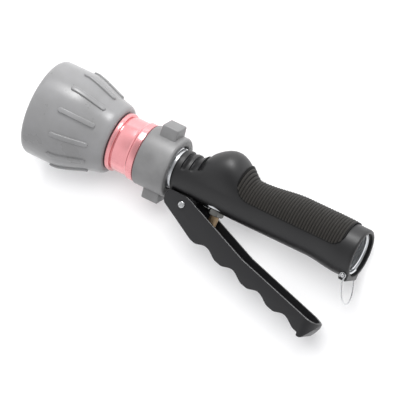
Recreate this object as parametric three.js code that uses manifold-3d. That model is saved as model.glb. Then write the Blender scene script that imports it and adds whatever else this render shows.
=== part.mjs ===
// A fire hose nozzle: a twist-to-adjust spray head in a rubber bumper, joined by a swivel coupling to a
// squeeze-lever shut-off handle. Millimetres. X runs along the waterway from the outlet (-X) to the hose
// inlet (+X), the thumb bump faces +Y, the lever faces -Y, and the nozzle lies on its side with +Z up.
import * as THREE from 'three';
import { mergeVertices } from 'three/addons/utils/BufferGeometryUtils.js';
import Module from 'manifold-3d';

const wasm = await Module();
wasm.setup();

// ---- Driving dimensions --------------------------------------------------------------------------

const FIT = 0.3; // air left between two separate pieces
const CUT = 1; // how far a cutter runs past the face that it opens
const ROUND = 24; // facets round a turned piece
const FINE = 12; // facets round a small pin, nut or wire ring

// Handle
const HANDLE_LENGTH = 159;
const NECK_RADIUS = 16.7;
const GRIP_RADIUS = 17.5; // finger side of the grip
const PALM_SWELL = 3.6; // how far the palm side stands out beyond the finger side
const END_RADIUS = 20.3; // flared end round the inlet
const BUMP_HEIGHT = 14.3; // thumb bump above the neck
const BUMP_X = 38.5;
const BUMP_FRONT_LENGTH = 23;
const BUMP_REAR_LENGTH = 24;
const BUMP_CROWN = 1.6; // how quickly the bump falls away to the sides
const NECK_END = 20; // the neck widens from here into the grip
const GRIP_START = 60;
const PALM_START = 66; // the palm side swells from here
const PALM_FULL = 104;
const GROOVE_PITCH = 6.6;
const GROOVE_DEPTH = 1.2;
const GROOVE_FIRST = 6.8;
const GROOVE_COUNT = 3;
const GROOVE_HALF_WIDTH = 1.9;
const GROOVE_HALF_ANGLE = 80; // reach of the first groove down each side; each next one stops short
const GROOVE_ANGLE_STEP = 10;
const GROOVE_FADE = 25;
const END_ROUND = 1.2; // rounded edge at both ends of the shell

const FLARE_START = HANDLE_LENGTH - 41; // the grip widens from here to the end band
const FLARE_END = HANDLE_LENGTH - 12;

// Ribbed palm panel let into the grip
const PANEL_START = 52;
const PANEL_END = HANDLE_LENGTH - 12;
const PANEL_HALF_ANGLE = 86;
const PANEL_THICKNESS = 1.6;
const PANEL_PROUD = 0.4; // how far the ribs stand above the shell
const PANEL_FRONT_CORNER = [15, 13]; // length and width of the rounding
const PANEL_BACK_CORNER = [9, 9];

// Waterway
const VALVE_X = 40; // where the shut-off valve crosses the waterway
const TUBE_RADIUS = 13.4;
const BORE_RADIUS = 11;
const HANDLE_THREAD_RADIUS = 16.4; // male hose thread at the front of the handle
const HANDLE_THREAD_LENGTH = 18.5;
const THREAD_PITCH = 2.2;
const THREAD_DEPTH = 0.9;
const SOCKET_RADIUS = 17.2; // threaded inlet socket inside the flared end
const SOCKET_BORE = 15.4;
const SOCKET_RECESS = 3.2;
const SOCKET_DEPTH = 15;
const GASKET_THICKNESS = 3;
const REAR_PASSAGE = [[68, 0], [VALVE_X, 13.5]]; // drilled from the inlet up into the valve chamber
const FRONT_PASSAGE = [[18, -2.4], [VALVE_X, -3.2]]; // drilled from below the seat to the outlet
const REAR_PASSAGE_RADIUS = 6.2;
const FRONT_PASSAGE_RADIUS = 5.6;
const FRONT_BORE_END = 20;
const REAR_BORE_START = 64;

// Shut-off valve, across the waterway under the thumb bump
const CHAMBER_RADIUS = 10.6;
const CHAMBER_BORE = 8.6;
const CHAMBER_TOP = 24.4;
const CHAMBER_FLOOR = -14.6;
const SEAT_Y = 1.5;
const SEAT_BORE = 6.2;
const SEAT_THICKNESS = 3;
const STEM_RADIUS = 2.4;
const POPPET_RADIUS = 7.6;
const POPPET_THICKNESS = 2.4;
const SEAL_THICKNESS = 1.6;
const STEM_HEAD = 2.6;
const SPRING_RADIUS = 5.6;
const SPRING_WIRE = 0.48;
const SPRING_TURNS = 3;
const CAP_THICKNESS = 5;
const NUT_ACROSS_FLATS = 11.4;
const NUT_HEIGHT = 5.6;
const PUSH_ROD_RADIUS = 3.7;
const PACKING_WALL = 1.7;
const PACKING_HEIGHT = 2;
const STEM_SOCKET = 6; // how deep the valve stem sits in the push rod

// Squeeze lever
const PIVOT_X = 16;
const PIVOT_Y = -21.8;
const PIVOT_RADIUS = 1.9;
const LEVER_WIDTH = 24;
const LEVER_WALL = 2.2;
const LEVER_REACH = 150;
const LEVER_PLAN_ROUND = 11; // rounded end of the lever seen from the handle
const ROD_CLEARANCE = 0.45; // push rod to lever web, with the lever at rest
const BOSS_RADIUS = 5.4;
const BUSH_WALL = 1.2;
const PIVOT_HEAD_RADIUS = 2.7;
const PIVOT_HEAD_HEIGHT = 1.3;
const SCREW_CORE = 0.9; // threaded part of the pivot screw
const SLOT_HALF_WIDTH = 0.35;
const FINGER_PITCH = 25.8;
const FINGER_FIRST = 47;
const FINGER_COUNT = 4;
const FINGER_DEPTH = 3.8;
const FINGER_HALF_WIDTH = 10.5;
const CREST_START = [32.6, -43.2]; // first crest between two fingers
const CREST_SLOPE = -0.271;

// Wire bail on the inlet end
const BAIL_X = HANDLE_LENGTH - 3.8;
const BAIL_Y = -17.5;
const BAIL_LENGTH = 22.3;
const BAIL_WIRE = 0.7;
const BAIL_TILT = 19; // lean of the hanging bail towards the inlet, in degrees
const EYELET_RADIUS = 2.1;
const LUG_HALF_WIDTH = 12.4;
const LUG_HALF_LENGTH = 3.6;
const LUG_DROP = 21.6;
const RIVET_RADIUS = 1.05;
const RIVET_GRIP = 2.7; // how far a rivet reaches into the foot
const RIVET_HEAD_RADIUS = 2.1;
const RIVET_HEAD_HEIGHT = 0.9;

// Screw on the finger side of the grip
const SCREW_X = 30.5;
const SCREW_RADIUS = 1.2;
const SCREW_HEAD_RADIUS = 2.1;

// Swivel coupling
const COUPLING_REAR = -2;
const COUPLING_FRONT = -28.5;
const COUPLING_RADIUS = 24;
const COUPLING_LIP = 14.9;
const LUG_HEIGHT = 7.4;
const LUG_LENGTH = 14;
const LUG_WIDTH = 15;
const LUG_REAR = -7;
const LUG_TURN = 15; // angle of the first coupling lug from +Y towards +Z
const WASHER_THICKNESS = 0.8;
const LUG_TAPER = 1.5; // extra half width of a lug at its foot
const LUG_ROUND = 1.4;

// Barrel and spray head
const BARREL_RADIUS = 21.9;
const BARREL_FLARE = 23.2;
const RING_RADIUS = 23.4;
const RING_REAR = -49.5;
const RING_LENGTH = 4;
const BARREL_THREAD_RADIUS = 19.9;
const BARREL_FRONT = -101;
const BARREL_BORE = 14;
const BARREL_MOUTH = 13;
const MOUTH_TAPER = [-96, -93]; // where the bore narrows towards the mouth
const TAIL_TAPER = [-36, -33]; // where it narrows towards the coupling
const BUMPER_REAR = -54;
const BUMPER_FRONT = -120;
const BUMPER_RADIUS = 38.2;
const BUMPER_REAR_RADIUS = 28.4;
const BUMPER_BAND = 25; // length of the straight front band
const BUMPER_WALL = 4.6;
const BUMPER_EDGE = 4.6; // radius of the rounded front edge
const BUMPER_SLOPE = 0.55; // share of the shoulder that is straight, the rest is an S curve
const BUMPER_RIBS = 12;
const RIB_FRONT = -95;
const RIB_LENGTH = 31;
const RIB_WIDTH = 4.4;
const RIB_HEIGHT = 1.5;
const RIB_TURN = 17.3; // angle of the first rib from +Y towards +Z
const TEETH = 24;
const TEETH_RADIUS = 30;
const TEETH_LENGTH = 4;
const TOOTH_HEIGHT = 3.6;
const RING_GROOVE_X = -88; // seal groove in the bore of the sleeve
const RING_GROOVE_WIDTH = 2.6;
const RING_GROOVE_DEPTH = 1.8;
const BAFFLE_RADIUS = 16.4;
const BAFFLE_FRONT = -112.5;
const BAFFLE_STEM_RADIUS = 2.6;
const SPIDER_X = -66;
const SPIDER_LENGTH = 8;
const SPIDER_ARM = 1.1; // half the thickness of an arm
const HEAD_SOCKET = 4; // hexagon socket in the face of the baffle, across corners / 2
const STEM_NUT_LENGTH = 3.2;

// ---- Finishes ------------------------------------------------------------------------------------

function finish(color, roughness, metalness) {
  return new THREE.MeshStandardMaterial({ color, roughness, metalness });
}
const bumperRubber = finish(0x9d9d9d, 0.6, 0);
const couplingGrey = finish(0x939393, 0.5, 0.1);
const redAnodised = finish(0xef8f94, 0.3, 0.7);
const blackNylon = finish(0x39393a, 0.5, 0);
const blackRubber = finish(0x2a2927, 0.75, 0);
const bareAluminium = finish(0xc4c6c8, 0.35, 1);
const stainless = finish(0xc9cacb, 0.25, 1);
const brass = finish(0xb08d57, 0.35, 1);
const leverBlack = finish(0x3b3b3c, 0.45, 0.1);
const sealRubber = finish(0x1e1e1e, 0.8, 0);
const whiteAcetal = finish(0xd8d8d2, 0.5, 0);

// ---- Solids --------------------------------------------------------------------------------------

// A closed geometry as a solid that can be joined and cut.
function solid(geometry) {
  const bare = geometry.clone();
  for (const name of Object.keys(bare.attributes)) {
    if (name !== 'position') bare.deleteAttribute(name);
  }
  const merged = mergeVertices(bare, 1e-4);
  return new wasm.Manifold(new wasm.Mesh({
    numProp: 3,
    vertProperties: new Float32Array(merged.attributes.position.array),
    triVerts: new Uint32Array(merged.index.array),
  }));
}

// The triangles of a solid as a geometry.
function surface(made) {
  const mesh = made.getMesh();
  const geometry = new THREE.BufferGeometry();
  geometry.setAttribute('position', new THREE.BufferAttribute(new Float32Array(mesh.vertProperties), 3));
  geometry.setIndex(new THREE.BufferAttribute(new Uint32Array(mesh.triVerts), 1));
  geometry.computeVertexNormals();
  return geometry;
}

const join = (...parts) => parts.reduce((whole, next) => whole.add(next));
const cut = (body, ...tools) => tools.reduce((left, tool) => left.subtract(tool), body);

// Area inside a closed outline, positive when it runs anticlockwise.
function outlineArea(points) {
  return points.reduce((sum, [x, y], i) => {
    const [nextX, nextY] = points[(i + 1) % points.length];
    return sum + (x * nextY - nextX * y) / 2;
  }, 0);
}

// A body turned about the X axis from a closed outline of [x, radius] points.
function turned(outline, facets = ROUND) {
  const ordered = outlineArea(outline) > 0 ? [...outline].reverse() : outline;
  const points = [...ordered, ordered[0]].map(([x, radius]) => new THREE.Vector2(Math.max(radius, 0), x));
  return solid(new THREE.LatheGeometry(points, facets).rotateZ(-Math.PI / 2));
}

// The same body turned about a line along Y, at x, from [y, radius] points.
function turnedUp(outline, x = VALVE_X, facets = FINE) {
  return turned(outline, facets).rotate([0, 0, 90]).translate([x, 0, 0]);
}

// The same body turned about a line along Z, at x and y, from [z, radius] points.
function turnedAcross(outline, x, y, facets = FINE) {
  return turned(outline, facets).rotate([0, -90, 0]).translate([x, y, 0]);
}

// A plain cylinder's outline between two ends.
const rod = (from, to, radius) => [[from, 0], [from, radius], [to, radius], [to, 0]];
const pipe = (from, to, inner, outer) => [[from, inner], [from, outer], [to, outer], [to, inner]];

// An outline in the X-Y plane given a thickness along Z, centred.
function plate(points, thickness) {
  const shape = new THREE.Shape(points.map(([x, y]) => new THREE.Vector2(x, y)));
  const options = { depth: thickness, bevelEnabled: false, curveSegments: 12 };
  return solid(new THREE.ExtrudeGeometry(shape, options).translate(0, 0, -thickness / 2));
}

// A block between two corners.
function block(low, high) {
  const size = high.map((value, i) => value - low[i]);
  const centre = high.map((value, i) => (value + low[i]) / 2);
  return solid(new THREE.BoxGeometry(...size).translate(...centre));
}

// A round bar or hole of one radius between two points in the X-Y plane.
function slanted(from, to, radius) {
  const [dx, dy] = [to[0] - from[0], to[1] - from[1]];
  const bar = turned(rod(0, Math.hypot(dx, dy), radius), FINE);
  return bar.rotate([0, 0, THREE.MathUtils.radToDeg(Math.atan2(dy, dx))]).translate([from[0], from[1], 0]);
}

// Points along an arc about a centre, from one angle to another in degrees.
function arc(x, y, radius, from, to, steps) {
  return Array.from({ length: steps + 1 }, (_, i) => {
    const angle = THREE.MathUtils.degToRad(from + ((to - from) * i) / steps);
    return [x + radius * Math.cos(angle), y + radius * Math.sin(angle)];
  });
}

// Ridges of a screw thread, drawn as rings, from one end to another: [x, radius] points.
function threadRidges(from, to, radius) {
  const step = THREAD_PITCH * Math.sign(to - from);
  const count = Math.floor(Math.abs(to - from) / THREAD_PITCH);
  return Array.from({ length: count }, (_, i) => [
    [from + step * (i + 0.1), radius - THREAD_DEPTH],
    [from + step * (i + 0.55), radius],
  ]).flat();
}

// A hexagonal block of a height along Y.
function hexagon(x, fromY, toY, acrossFlats) {
  const corner = acrossFlats / 2 / Math.cos(Math.PI / 6);
  return turnedUp(rod(fromY, toY, corner), x, 6);
}

const model = new THREE.Group();

function add(name, made, material) {
  const mesh = new THREE.Mesh(surface(made), material);
  mesh.name = name;
  model.add(mesh);
}

// ---- Grip shape ----------------------------------------------------------------------------------

const ease = (from, to, x) => THREE.MathUtils.smoothstep(x, from, to);

// Distance of the grip's surface from the waterway axis, at x and at an angle from +Y, in degrees.
function gripRadius(x, angle) {
  const towardsPalm = Math.cos(THREE.MathUtils.degToRad(angle));
  const flare = (END_RADIUS - GRIP_RADIUS) * ease(FLARE_START, FLARE_END, x);
  const girth = NECK_RADIUS + (GRIP_RADIUS - NECK_RADIUS) * ease(NECK_END, GRIP_START, x) + flare;
  const palm = PALM_SWELL * ease(PALM_START, PALM_FULL, x) * (1 - 0.95 * ease(FLARE_START, FLARE_END + 5, x));
  const palmSide = palm * (0.5 + 0.5 * towardsPalm);
  const inFront = x < BUMP_X;
  const along = (x - BUMP_X) / (inFront ? BUMP_FRONT_LENGTH : BUMP_REAR_LENGTH);
  const rise = Math.max(0, 1 - along * along) ** (inFront ? 1.25 : 1.5);
  const crown = Math.max(0, towardsPalm) ** BUMP_CROWN;
  return girth + palmSide + BUMP_HEIGHT * rise * crown;
}

// A closed lengthwise skin through rings of points round the axis; each ring lists [y, z] points.
function loft(stations, ring) {
  const rings = stations.map((x) => ring(x).map(([y, z]) => [x, y, z]));
  const around = rings[0].length;
  const positions = rings.flat(2);
  const index = [];
  const at = (station, k) => station * around + (k % around);
  for (let s = 0; s < stations.length - 1; s += 1) {
    for (let k = 0; k < around; k += 1) {
      index.push(at(s, k), at(s, k + 1), at(s + 1, k));
      index.push(at(s, k + 1), at(s + 1, k + 1), at(s + 1, k));
    }
  }
  // Each end is closed by strips between opposite points, so a crescent closes as well as a circle.
  const last = stations.length - 1;
  for (let k = 0; k < around / 2 - 1; k += 1) {
    const across = around - 1 - k;
    index.push(at(0, k), at(0, across - 1), at(0, k + 1));
    index.push(at(0, k), at(0, across), at(0, across - 1));
    index.push(at(last, k), at(last, k + 1), at(last, across - 1));
    index.push(at(last, k), at(last, across - 1), at(last, across));
  }
  const geometry = new THREE.BufferGeometry();
  geometry.setAttribute('position', new THREE.Float32BufferAttribute(positions, 3));
  geometry.setIndex(index);
  return solid(geometry);
}

// Evenly spaced values from one end to another, with both ends.
function range(from, to, count) {
  return Array.from({ length: count + 1 }, (_, i) => from + ((to - from) * i) / count);
}

// Half the angle that the panel covers at x: square at the back with a rounded corner, rounder in front.
function panelHalfAngle(x, grow) {
  const degreesPerMm = 180 / Math.PI / (GRIP_RADIUS + 1);
  const corner = (fromEnd, [lengthwise, round]) => {
    const t = THREE.MathUtils.clamp(1 - fromEnd / lengthwise, 0, 1);
    return round * (1 - Math.sqrt(1 - t * t));
  };
  const front = corner(x - PANEL_START + grow, PANEL_FRONT_CORNER);
  const back = corner(PANEL_END + grow - x, PANEL_BACK_CORNER);
  return PANEL_HALF_ANGLE + (grow - Math.max(front, back)) * degreesPerMm;
}

// The panel's own solid, or with room round it the pocket that it sits in.
function panelSolid(bottomGap, topGap, grow) {
  const stations = range(PANEL_START - grow, PANEL_END + grow, 16);
  return loft(stations, (x) => {
    const half = panelHalfAngle(x, grow);
    const angles = range(-half, half, 12);
    const point = (angle, radius) => {
      const turn = THREE.MathUtils.degToRad(angle);
      return [radius * Math.cos(turn), radius * Math.sin(turn)];
    };
    const outer = angles.map((angle) => point(angle, gripRadius(x, angle) + topGap));
    const inner = angles.map((angle) => point(angle, gripRadius(x, angle) - PANEL_THICKNESS - bottomGap));
    return [...outer, ...inner.reverse()];
  });
}

// ---- Waterway casting ----------------------------------------------------------------------------

const THREAD_FRONT = -HANDLE_THREAD_LENGTH;
const SOCKET_REAR = HANDLE_LENGTH - SOCKET_RECESS;
const SOCKET_FLOOR = SOCKET_REAR - SOCKET_DEPTH;
const SOCKET_FRONT = SOCKET_FLOOR - 7;
const TUBE_REAR = SOCKET_FLOOR - 2;
const PACKING_RADIUS = PUSH_ROD_RADIUS + PACKING_WALL;
const PACKING_FLOOR = CHAMBER_FLOOR + 4;
const LOWER_CHAMBER_FLOOR = PACKING_FLOOR + 1.6;

// Outside of the casting, with an even allowance for the shell that is moulded round it.
function castingOutside(allowance) {
  const tube = turned(rod(FIT, TUBE_REAR, TUBE_RADIUS + allowance));
  const chamberOutline = rod(CHAMBER_FLOOR - allowance, CHAMBER_TOP + allowance, CHAMBER_RADIUS + allowance);
  const saddle = slanted(...REAR_PASSAGE, REAR_PASSAGE_RADIUS + 2.4 + allowance);
  return join(tube, turnedUp(chamberOutline), saddle);
}

const threadEnd = turned([
  [THREAD_FRONT, 0], [THREAD_FRONT, HANDLE_THREAD_RADIUS - THREAD_DEPTH],
  ...threadRidges(THREAD_FRONT, -1, HANDLE_THREAD_RADIUS),
  [-FIT, HANDLE_THREAD_RADIUS - THREAD_DEPTH], [-FIT, TUBE_RADIUS], [FIT * 2, TUBE_RADIUS], [FIT * 2, 0],
]);
const waterway = cut(
  join(castingOutside(0), threadEnd),
  turned(rod(THREAD_FRONT - CUT, FRONT_BORE_END, BORE_RADIUS)),
  turned(rod(REAR_BORE_START, TUBE_REAR + CUT, BORE_RADIUS)),
  slanted(...FRONT_PASSAGE, FRONT_PASSAGE_RADIUS),
  slanted(...REAR_PASSAGE, REAR_PASSAGE_RADIUS),
  turnedUp(rod(SEAT_Y, CHAMBER_TOP + CUT, CHAMBER_BORE)),
  turnedUp(rod(LOWER_CHAMBER_FLOOR, SEAT_Y + CUT, SEAT_BORE + 1.2)),
  turnedUp(rod(CHAMBER_FLOOR - CUT, 0, PUSH_ROD_RADIUS + FIT)),
  turnedUp(rod(CHAMBER_FLOOR - CUT, PACKING_FLOOR, PACKING_RADIUS)),
);
add('waterway_casting', waterway, bareAluminium);

// ---- Grip shell, panel and screw -----------------------------------------------------------------

const grooveCentres = Array.from({ length: GROOVE_COUNT }, (_, i) => GROOVE_FIRST + i * GROOVE_PITCH);
const grooveHalfAngles = grooveCentres.map((_, i) => GROOVE_HALF_ANGLE - GROOVE_ANGLE_STEP * i);

// Part-round grooves over the top of the neck, fading out down both sides.
function neckGroove(x, angle) {
  return grooveCentres.reduce((depth, centre, i) => {
    const across = Math.max(0, 1 - Math.abs(x - centre) / GROOVE_HALF_WIDTH);
    const fade = 1 - ease(grooveHalfAngles[i] - GROOVE_FADE, grooveHalfAngles[i], Math.abs(angle));
    return Math.max(depth, GROOVE_DEPTH * across * fade);
  }, 0);
}

const grooveStations = grooveCentres.flatMap(
  (centre) => [centre - GROOVE_HALF_WIDTH, centre, centre + GROOVE_HALF_WIDTH],
);
const gripStations = [
  0, END_ROUND, ...grooveStations, ...range(25, 61, 8), ...range(67, FLARE_START - 3, 4),
  ...range(FLARE_START + 4, HANDLE_LENGTH - 5, 4), HANDLE_LENGTH - END_ROUND, HANDLE_LENGTH,
];
const gripOutside = loft(gripStations, (x) => {
  const fromEnd = Math.min(x, HANDLE_LENGTH - x);
  const edge = END_ROUND - Math.min(fromEnd, END_ROUND);
  return range(0, 360, 24).slice(0, -1).map((angle) => {
    const fromTop = angle > 180 ? angle - 360 : angle;
    const radius = gripRadius(x, fromTop) - neckGroove(x, fromTop) - edge;
    const turn = THREE.MathUtils.degToRad(angle);
    return [radius * Math.cos(turn), radius * Math.sin(turn)];
  });
});

// Boss between the lever's two cheeks, and the foot under the inlet that carries the wire bail.
const BOSS_HALF_WIDTH = LEVER_WIDTH / 2 - LEVER_WALL - FIT;
const pivotBoss = join(
  turnedAcross(rod(-BOSS_HALF_WIDTH, BOSS_HALF_WIDTH, BOSS_RADIUS), PIVOT_X, PIVOT_Y),
  block(
    [PIVOT_X - BOSS_RADIUS, PIVOT_Y, -BOSS_HALF_WIDTH],
    [PIVOT_X + BOSS_RADIUS, -TUBE_RADIUS + 1, BOSS_HALF_WIDTH],
  ),
);
const bailFoot = block(
  [BAIL_X - LUG_HALF_LENGTH, -LUG_DROP, -LUG_HALF_WIDTH],
  [BAIL_X + LUG_HALF_LENGTH, -10, LUG_HALF_WIDTH],
);
const BUSH_RADIUS = PIVOT_RADIUS + BUSH_WALL;
const EYELET_CLEAR = EYELET_RADIUS + BAIL_WIRE + 0.5;
const shellFloor = -gripRadius(SCREW_X, 180);
const shell = cut(
  join(gripOutside, pivotBoss, bailFoot),
  castingOutside(FIT),
  turned(rod(-CUT, 2, TUBE_RADIUS + FIT)),
  turned(rod(SOCKET_FRONT - FIT, HANDLE_LENGTH + CUT, SOCKET_RADIUS + FIT)),
  turnedUp(rod(-END_RADIUS - CUT, CHAMBER_FLOOR + 1, NUT_ACROSS_FLATS / 2 + 1.4)),
  panelSolid(FIT, 4, FIT),
  turnedAcross(rod(-LEVER_WIDTH, LEVER_WIDTH, BUSH_RADIUS + FIT), PIVOT_X, PIVOT_Y),
  ...[1, -1].flatMap((side) => [
    turnedAcross(rod(side * (LUG_HALF_WIDTH - 3), side * END_RADIUS, RIVET_RADIUS + FIT), BAIL_X, BAIL_Y),
    turnedAcross(rod(side * LUG_HALF_WIDTH, side * END_RADIUS, EYELET_CLEAR), BAIL_X, BAIL_Y),
  ]),
  turnedUp(rod(shellFloor - CUT, shellFloor + 1.7, SCREW_RADIUS + FIT), SCREW_X),
);
add('grip_shell', shell, blackNylon);
add('palm_panel', panelSolid(0, PANEL_PROUD, 0), blackRubber);

const screwHead = turnedUp(
  [[shellFloor - 1.5, 0], [shellFloor - 1.5, 1.2], [shellFloor - 0.7, SCREW_HEAD_RADIUS],
    [shellFloor - FIT, SCREW_HEAD_RADIUS], [shellFloor - FIT, SCREW_RADIUS], [shellFloor + 1.4, SCREW_RADIUS],
    [shellFloor + 1.4, 0]],
  SCREW_X,
);
add('grip_screw', screwHead, stainless);

// ---- Inlet ---------------------------------------------------------------------------------------

const inletSocket = turned([
  [SOCKET_FRONT, TUBE_RADIUS + FIT], [SOCKET_FRONT, SOCKET_RADIUS], [SOCKET_REAR, SOCKET_RADIUS],
  [SOCKET_REAR, SOCKET_BORE + 1], [SOCKET_REAR - 1, SOCKET_BORE],
  ...threadRidges(SOCKET_REAR - 1.4, SOCKET_FLOOR + GASKET_THICKNESS + 1, SOCKET_BORE + THREAD_DEPTH),
  [SOCKET_FLOOR + GASKET_THICKNESS + 0.6, SOCKET_BORE], [SOCKET_FLOOR, SOCKET_BORE],
  [SOCKET_FLOOR, BORE_RADIUS + 0.5], [TUBE_REAR + FIT, BORE_RADIUS + 0.5],
  [TUBE_REAR + FIT, TUBE_RADIUS + FIT],
]);
add('inlet_socket', inletSocket, bareAluminium);
const inletGasket = pipe(
  SOCKET_FLOOR + FIT, SOCKET_FLOOR + GASKET_THICKNESS, BORE_RADIUS + 0.6, SOCKET_BORE - FIT,
);
add('inlet_gasket', turned(inletGasket), sealRubber);

// ---- Valve ---------------------------------------------------------------------------------------

const seatTop = SEAT_Y + FIT + SEAT_THICKNESS;
add('valve_seat', turnedUp([
  [SEAT_Y + FIT, SEAT_BORE], [SEAT_Y + FIT, CHAMBER_BORE - FIT], [seatTop - 1, CHAMBER_BORE - FIT],
  [seatTop - 1, SEAT_BORE + 1.4], [seatTop, SEAT_BORE + 0.8], [seatTop, SEAT_BORE],
]), brass);

const sealBottom = seatTop + FIT;
const poppetBottom = sealBottom + SEAL_THICKNESS + FIT;
const poppetTop = poppetBottom + POPPET_THICKNESS;
const hub = STEM_RADIUS + FIT;
add('poppet_seal', turnedUp(pipe(sealBottom, sealBottom + SEAL_THICKNESS, hub, POPPET_RADIUS)), sealRubber);
add('poppet', turnedUp([
  [poppetBottom, hub], [poppetBottom, POPPET_RADIUS], [poppetTop - 1, POPPET_RADIUS],
  [poppetTop, POPPET_RADIUS - 1], [poppetTop, hub],
]), brass);

const packingNutTop = CHAMBER_FLOOR - FIT;
const packingNutBottom = packingNutTop - NUT_HEIGHT;
const rodTop = LOWER_CHAMBER_FLOOR + 0.5;
const stemTop = poppetTop + FIT + STEM_HEAD;
const stem = turnedUp([
  [rodTop - STEM_SOCKET, 0], [rodTop - STEM_SOCKET, STEM_RADIUS - 0.5], [rodTop, STEM_RADIUS - 0.5],
  [rodTop + FIT, STEM_RADIUS],
  [sealBottom - 0.9, STEM_RADIUS], [poppetTop + FIT, STEM_RADIUS], [poppetTop + FIT, STEM_RADIUS + 1.2],
  [stemTop - 0.6, STEM_RADIUS + 1.2], [stemTop, STEM_RADIUS + 0.4], [stemTop, 0],
]);
const stemShoulder = turnedUp(pipe(sealBottom - 1.9, sealBottom - FIT, STEM_RADIUS - 0.4, STEM_RADIUS + 1.4));
add('valve_stem', join(stem, stemShoulder), stainless);

const capBottom = CHAMBER_TOP - CAP_THICKNESS;
const capSolid = cut(
  turnedUp([
    [capBottom, 0], [capBottom, CHAMBER_BORE - FIT], [capBottom + 1, CHAMBER_BORE - FIT],
    [capBottom + 1, CHAMBER_BORE - 1.6], [capBottom + 2.6, CHAMBER_BORE - 1.6],
    [capBottom + 2.6, CHAMBER_BORE - FIT], [CHAMBER_TOP, CHAMBER_BORE - FIT], [CHAMBER_TOP, 0],
  ]),
  hexagon(VALVE_X, CHAMBER_TOP - 2.5, CHAMBER_TOP + CUT, 8),
  turnedUp(rod(capBottom - CUT, capBottom + 0.8, SPRING_RADIUS + SPRING_WIRE + FIT)),
);
add('chamber_cap', capSolid, brass);
const capRing = pipe(capBottom + 1.2, capBottom + 2.4, CHAMBER_BORE - 1.4, CHAMBER_BORE - 0.2);
add('chamber_cap_o_ring', turnedUp(capRing), sealRubber);

// Coil spring between the cap and the poppet, with flat closed ends left plain.
class Coil extends THREE.Curve {
  constructor(radius, bottom, top, turns) {
    super();
    Object.assign(this, { radius, bottom, top, turns });
  }

  getPoint(t, target = new THREE.Vector3()) {
    const angle = t * this.turns * 2 * Math.PI;
    const height = this.bottom + (this.top - this.bottom) * t;
    return target.set(VALVE_X + this.radius * Math.cos(angle), height, this.radius * Math.sin(angle));
  }
}

// A round wire of a radius along a curve.
function wire(curve, radius, steps, sides = 8) {
  const circle = range(0, 360, sides).slice(0, -1).map((angle) => {
    const turn = THREE.MathUtils.degToRad(angle);
    return new THREE.Vector2(radius * Math.cos(turn), radius * Math.sin(turn));
  });
  return solid(new THREE.ExtrudeGeometry(new THREE.Shape(circle), { steps, extrudePath: curve }));
}

const springBottom = poppetTop + FIT + SPRING_WIRE;
const springTop = capBottom + 0.8 - FIT - SPRING_WIRE;
const coil = new Coil(SPRING_RADIUS, springBottom, springTop, SPRING_TURNS);
add('valve_spring', wire(coil, SPRING_WIRE, 42, 6), stainless);

add('packing_nut', cut(
  join(
    hexagon(VALVE_X, packingNutBottom, packingNutTop, NUT_ACROSS_FLATS),
    turnedUp(rod(packingNutTop - CUT, PACKING_FLOOR - PACKING_HEIGHT - 2 * FIT, PACKING_RADIUS - FIT)),
  ),
  turnedUp(rod(packingNutBottom - CUT, PACKING_FLOOR, PUSH_ROD_RADIUS + FIT)),
), stainless);
add('stem_packing', turnedUp(pipe(
  PACKING_FLOOR - PACKING_HEIGHT - FIT, PACKING_FLOOR - FIT, PUSH_ROD_RADIUS + 0.15, PACKING_RADIUS - 0.15,
)), sealRubber);

// ---- Lever ---------------------------------------------------------------------------------------

// Finger side of the lever: a straight run of crests with a rounded hollow for each finger.
function fingerSide(x) {
  const crest = CREST_START[1] + CREST_SLOPE * (x - CREST_START[0]);
  return range(0, FINGER_COUNT - 1, FINGER_COUNT - 1).reduce((y, i) => {
    const off = (x - FINGER_FIRST - i * FINGER_PITCH) / FINGER_HALF_WIDTH;
    return Math.abs(off) < 1 ? y + FINGER_DEPTH * (0.5 + 0.5 * Math.cos(Math.PI * off)) ** 0.8 : y;
  }, crest);
}

// Handle side of the lever, straight over the pivot, then sloping away with a slight bend.
const topEdge = [[4, -14.4], [17.6, -14.8], [21, -16], [77, -40], [LEVER_REACH - 5, -60.4]];
const toeTop = [LEVER_REACH, -60.2];
const toe = [[LEVER_REACH + 0.4, -62.4], [LEVER_REACH - 1.4, -66], [LEVER_REACH - 4.4, -70.6]];
const hook = [[142.6, -74.2], [141.6, -74.8], [139.4, -74.8], [138.6, -74.2], [138.2, -71.9]];
const nose = [[9, -29.6], [3.6, -25.8], [1.2, -22.6], [0.9, -19.4], [2, -16.2]];
const fingers = range(137.4, CREST_START[0], 40).map((x) => [x, fingerSide(x)]);
const leverOutline = [...topEdge, toeTop, ...toe, ...hook, ...fingers, ...nose];

// The channel's inside follows the outside one wall further in, and is open towards the handle.
const inset = (points, dx, dy) => points.map(([x, y]) => [x + dx, y + dy]);
const channelOutline = [
  [2, -8], [LEVER_REACH + 2 - LEVER_WALL, -50], [LEVER_REACH - LEVER_WALL, -62],
  [LEVER_REACH - 3.6 - LEVER_WALL, -66.4], [139, -69.6],
  ...inset(fingers.slice(2, -1), 0, LEVER_WALL + 0.2),
  ...inset([[32, -42.4], [9, -29.6], [3.6, -25.4]], 1.4, LEVER_WALL), [3.4, -20], [4.2, -16.4],
];
const planEnd = arc(LEVER_REACH + 0.6 - LEVER_PLAN_ROUND, 0, LEVER_PLAN_ROUND, -90, 90, 12);
const planStretch = (LEVER_WIDTH / 2 + 0.05) / LEVER_PLAN_ROUND;
const planOutline = [
  [-5, LEVER_WIDTH], [-5, -LEVER_WIDTH], ...planEnd.map(([x, z]) => [x, z * planStretch]),
];
const planCutter = plate(planOutline, 2 * (LEVER_REACH / 2 + CUT)).rotate([90, 0, 0]);
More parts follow.
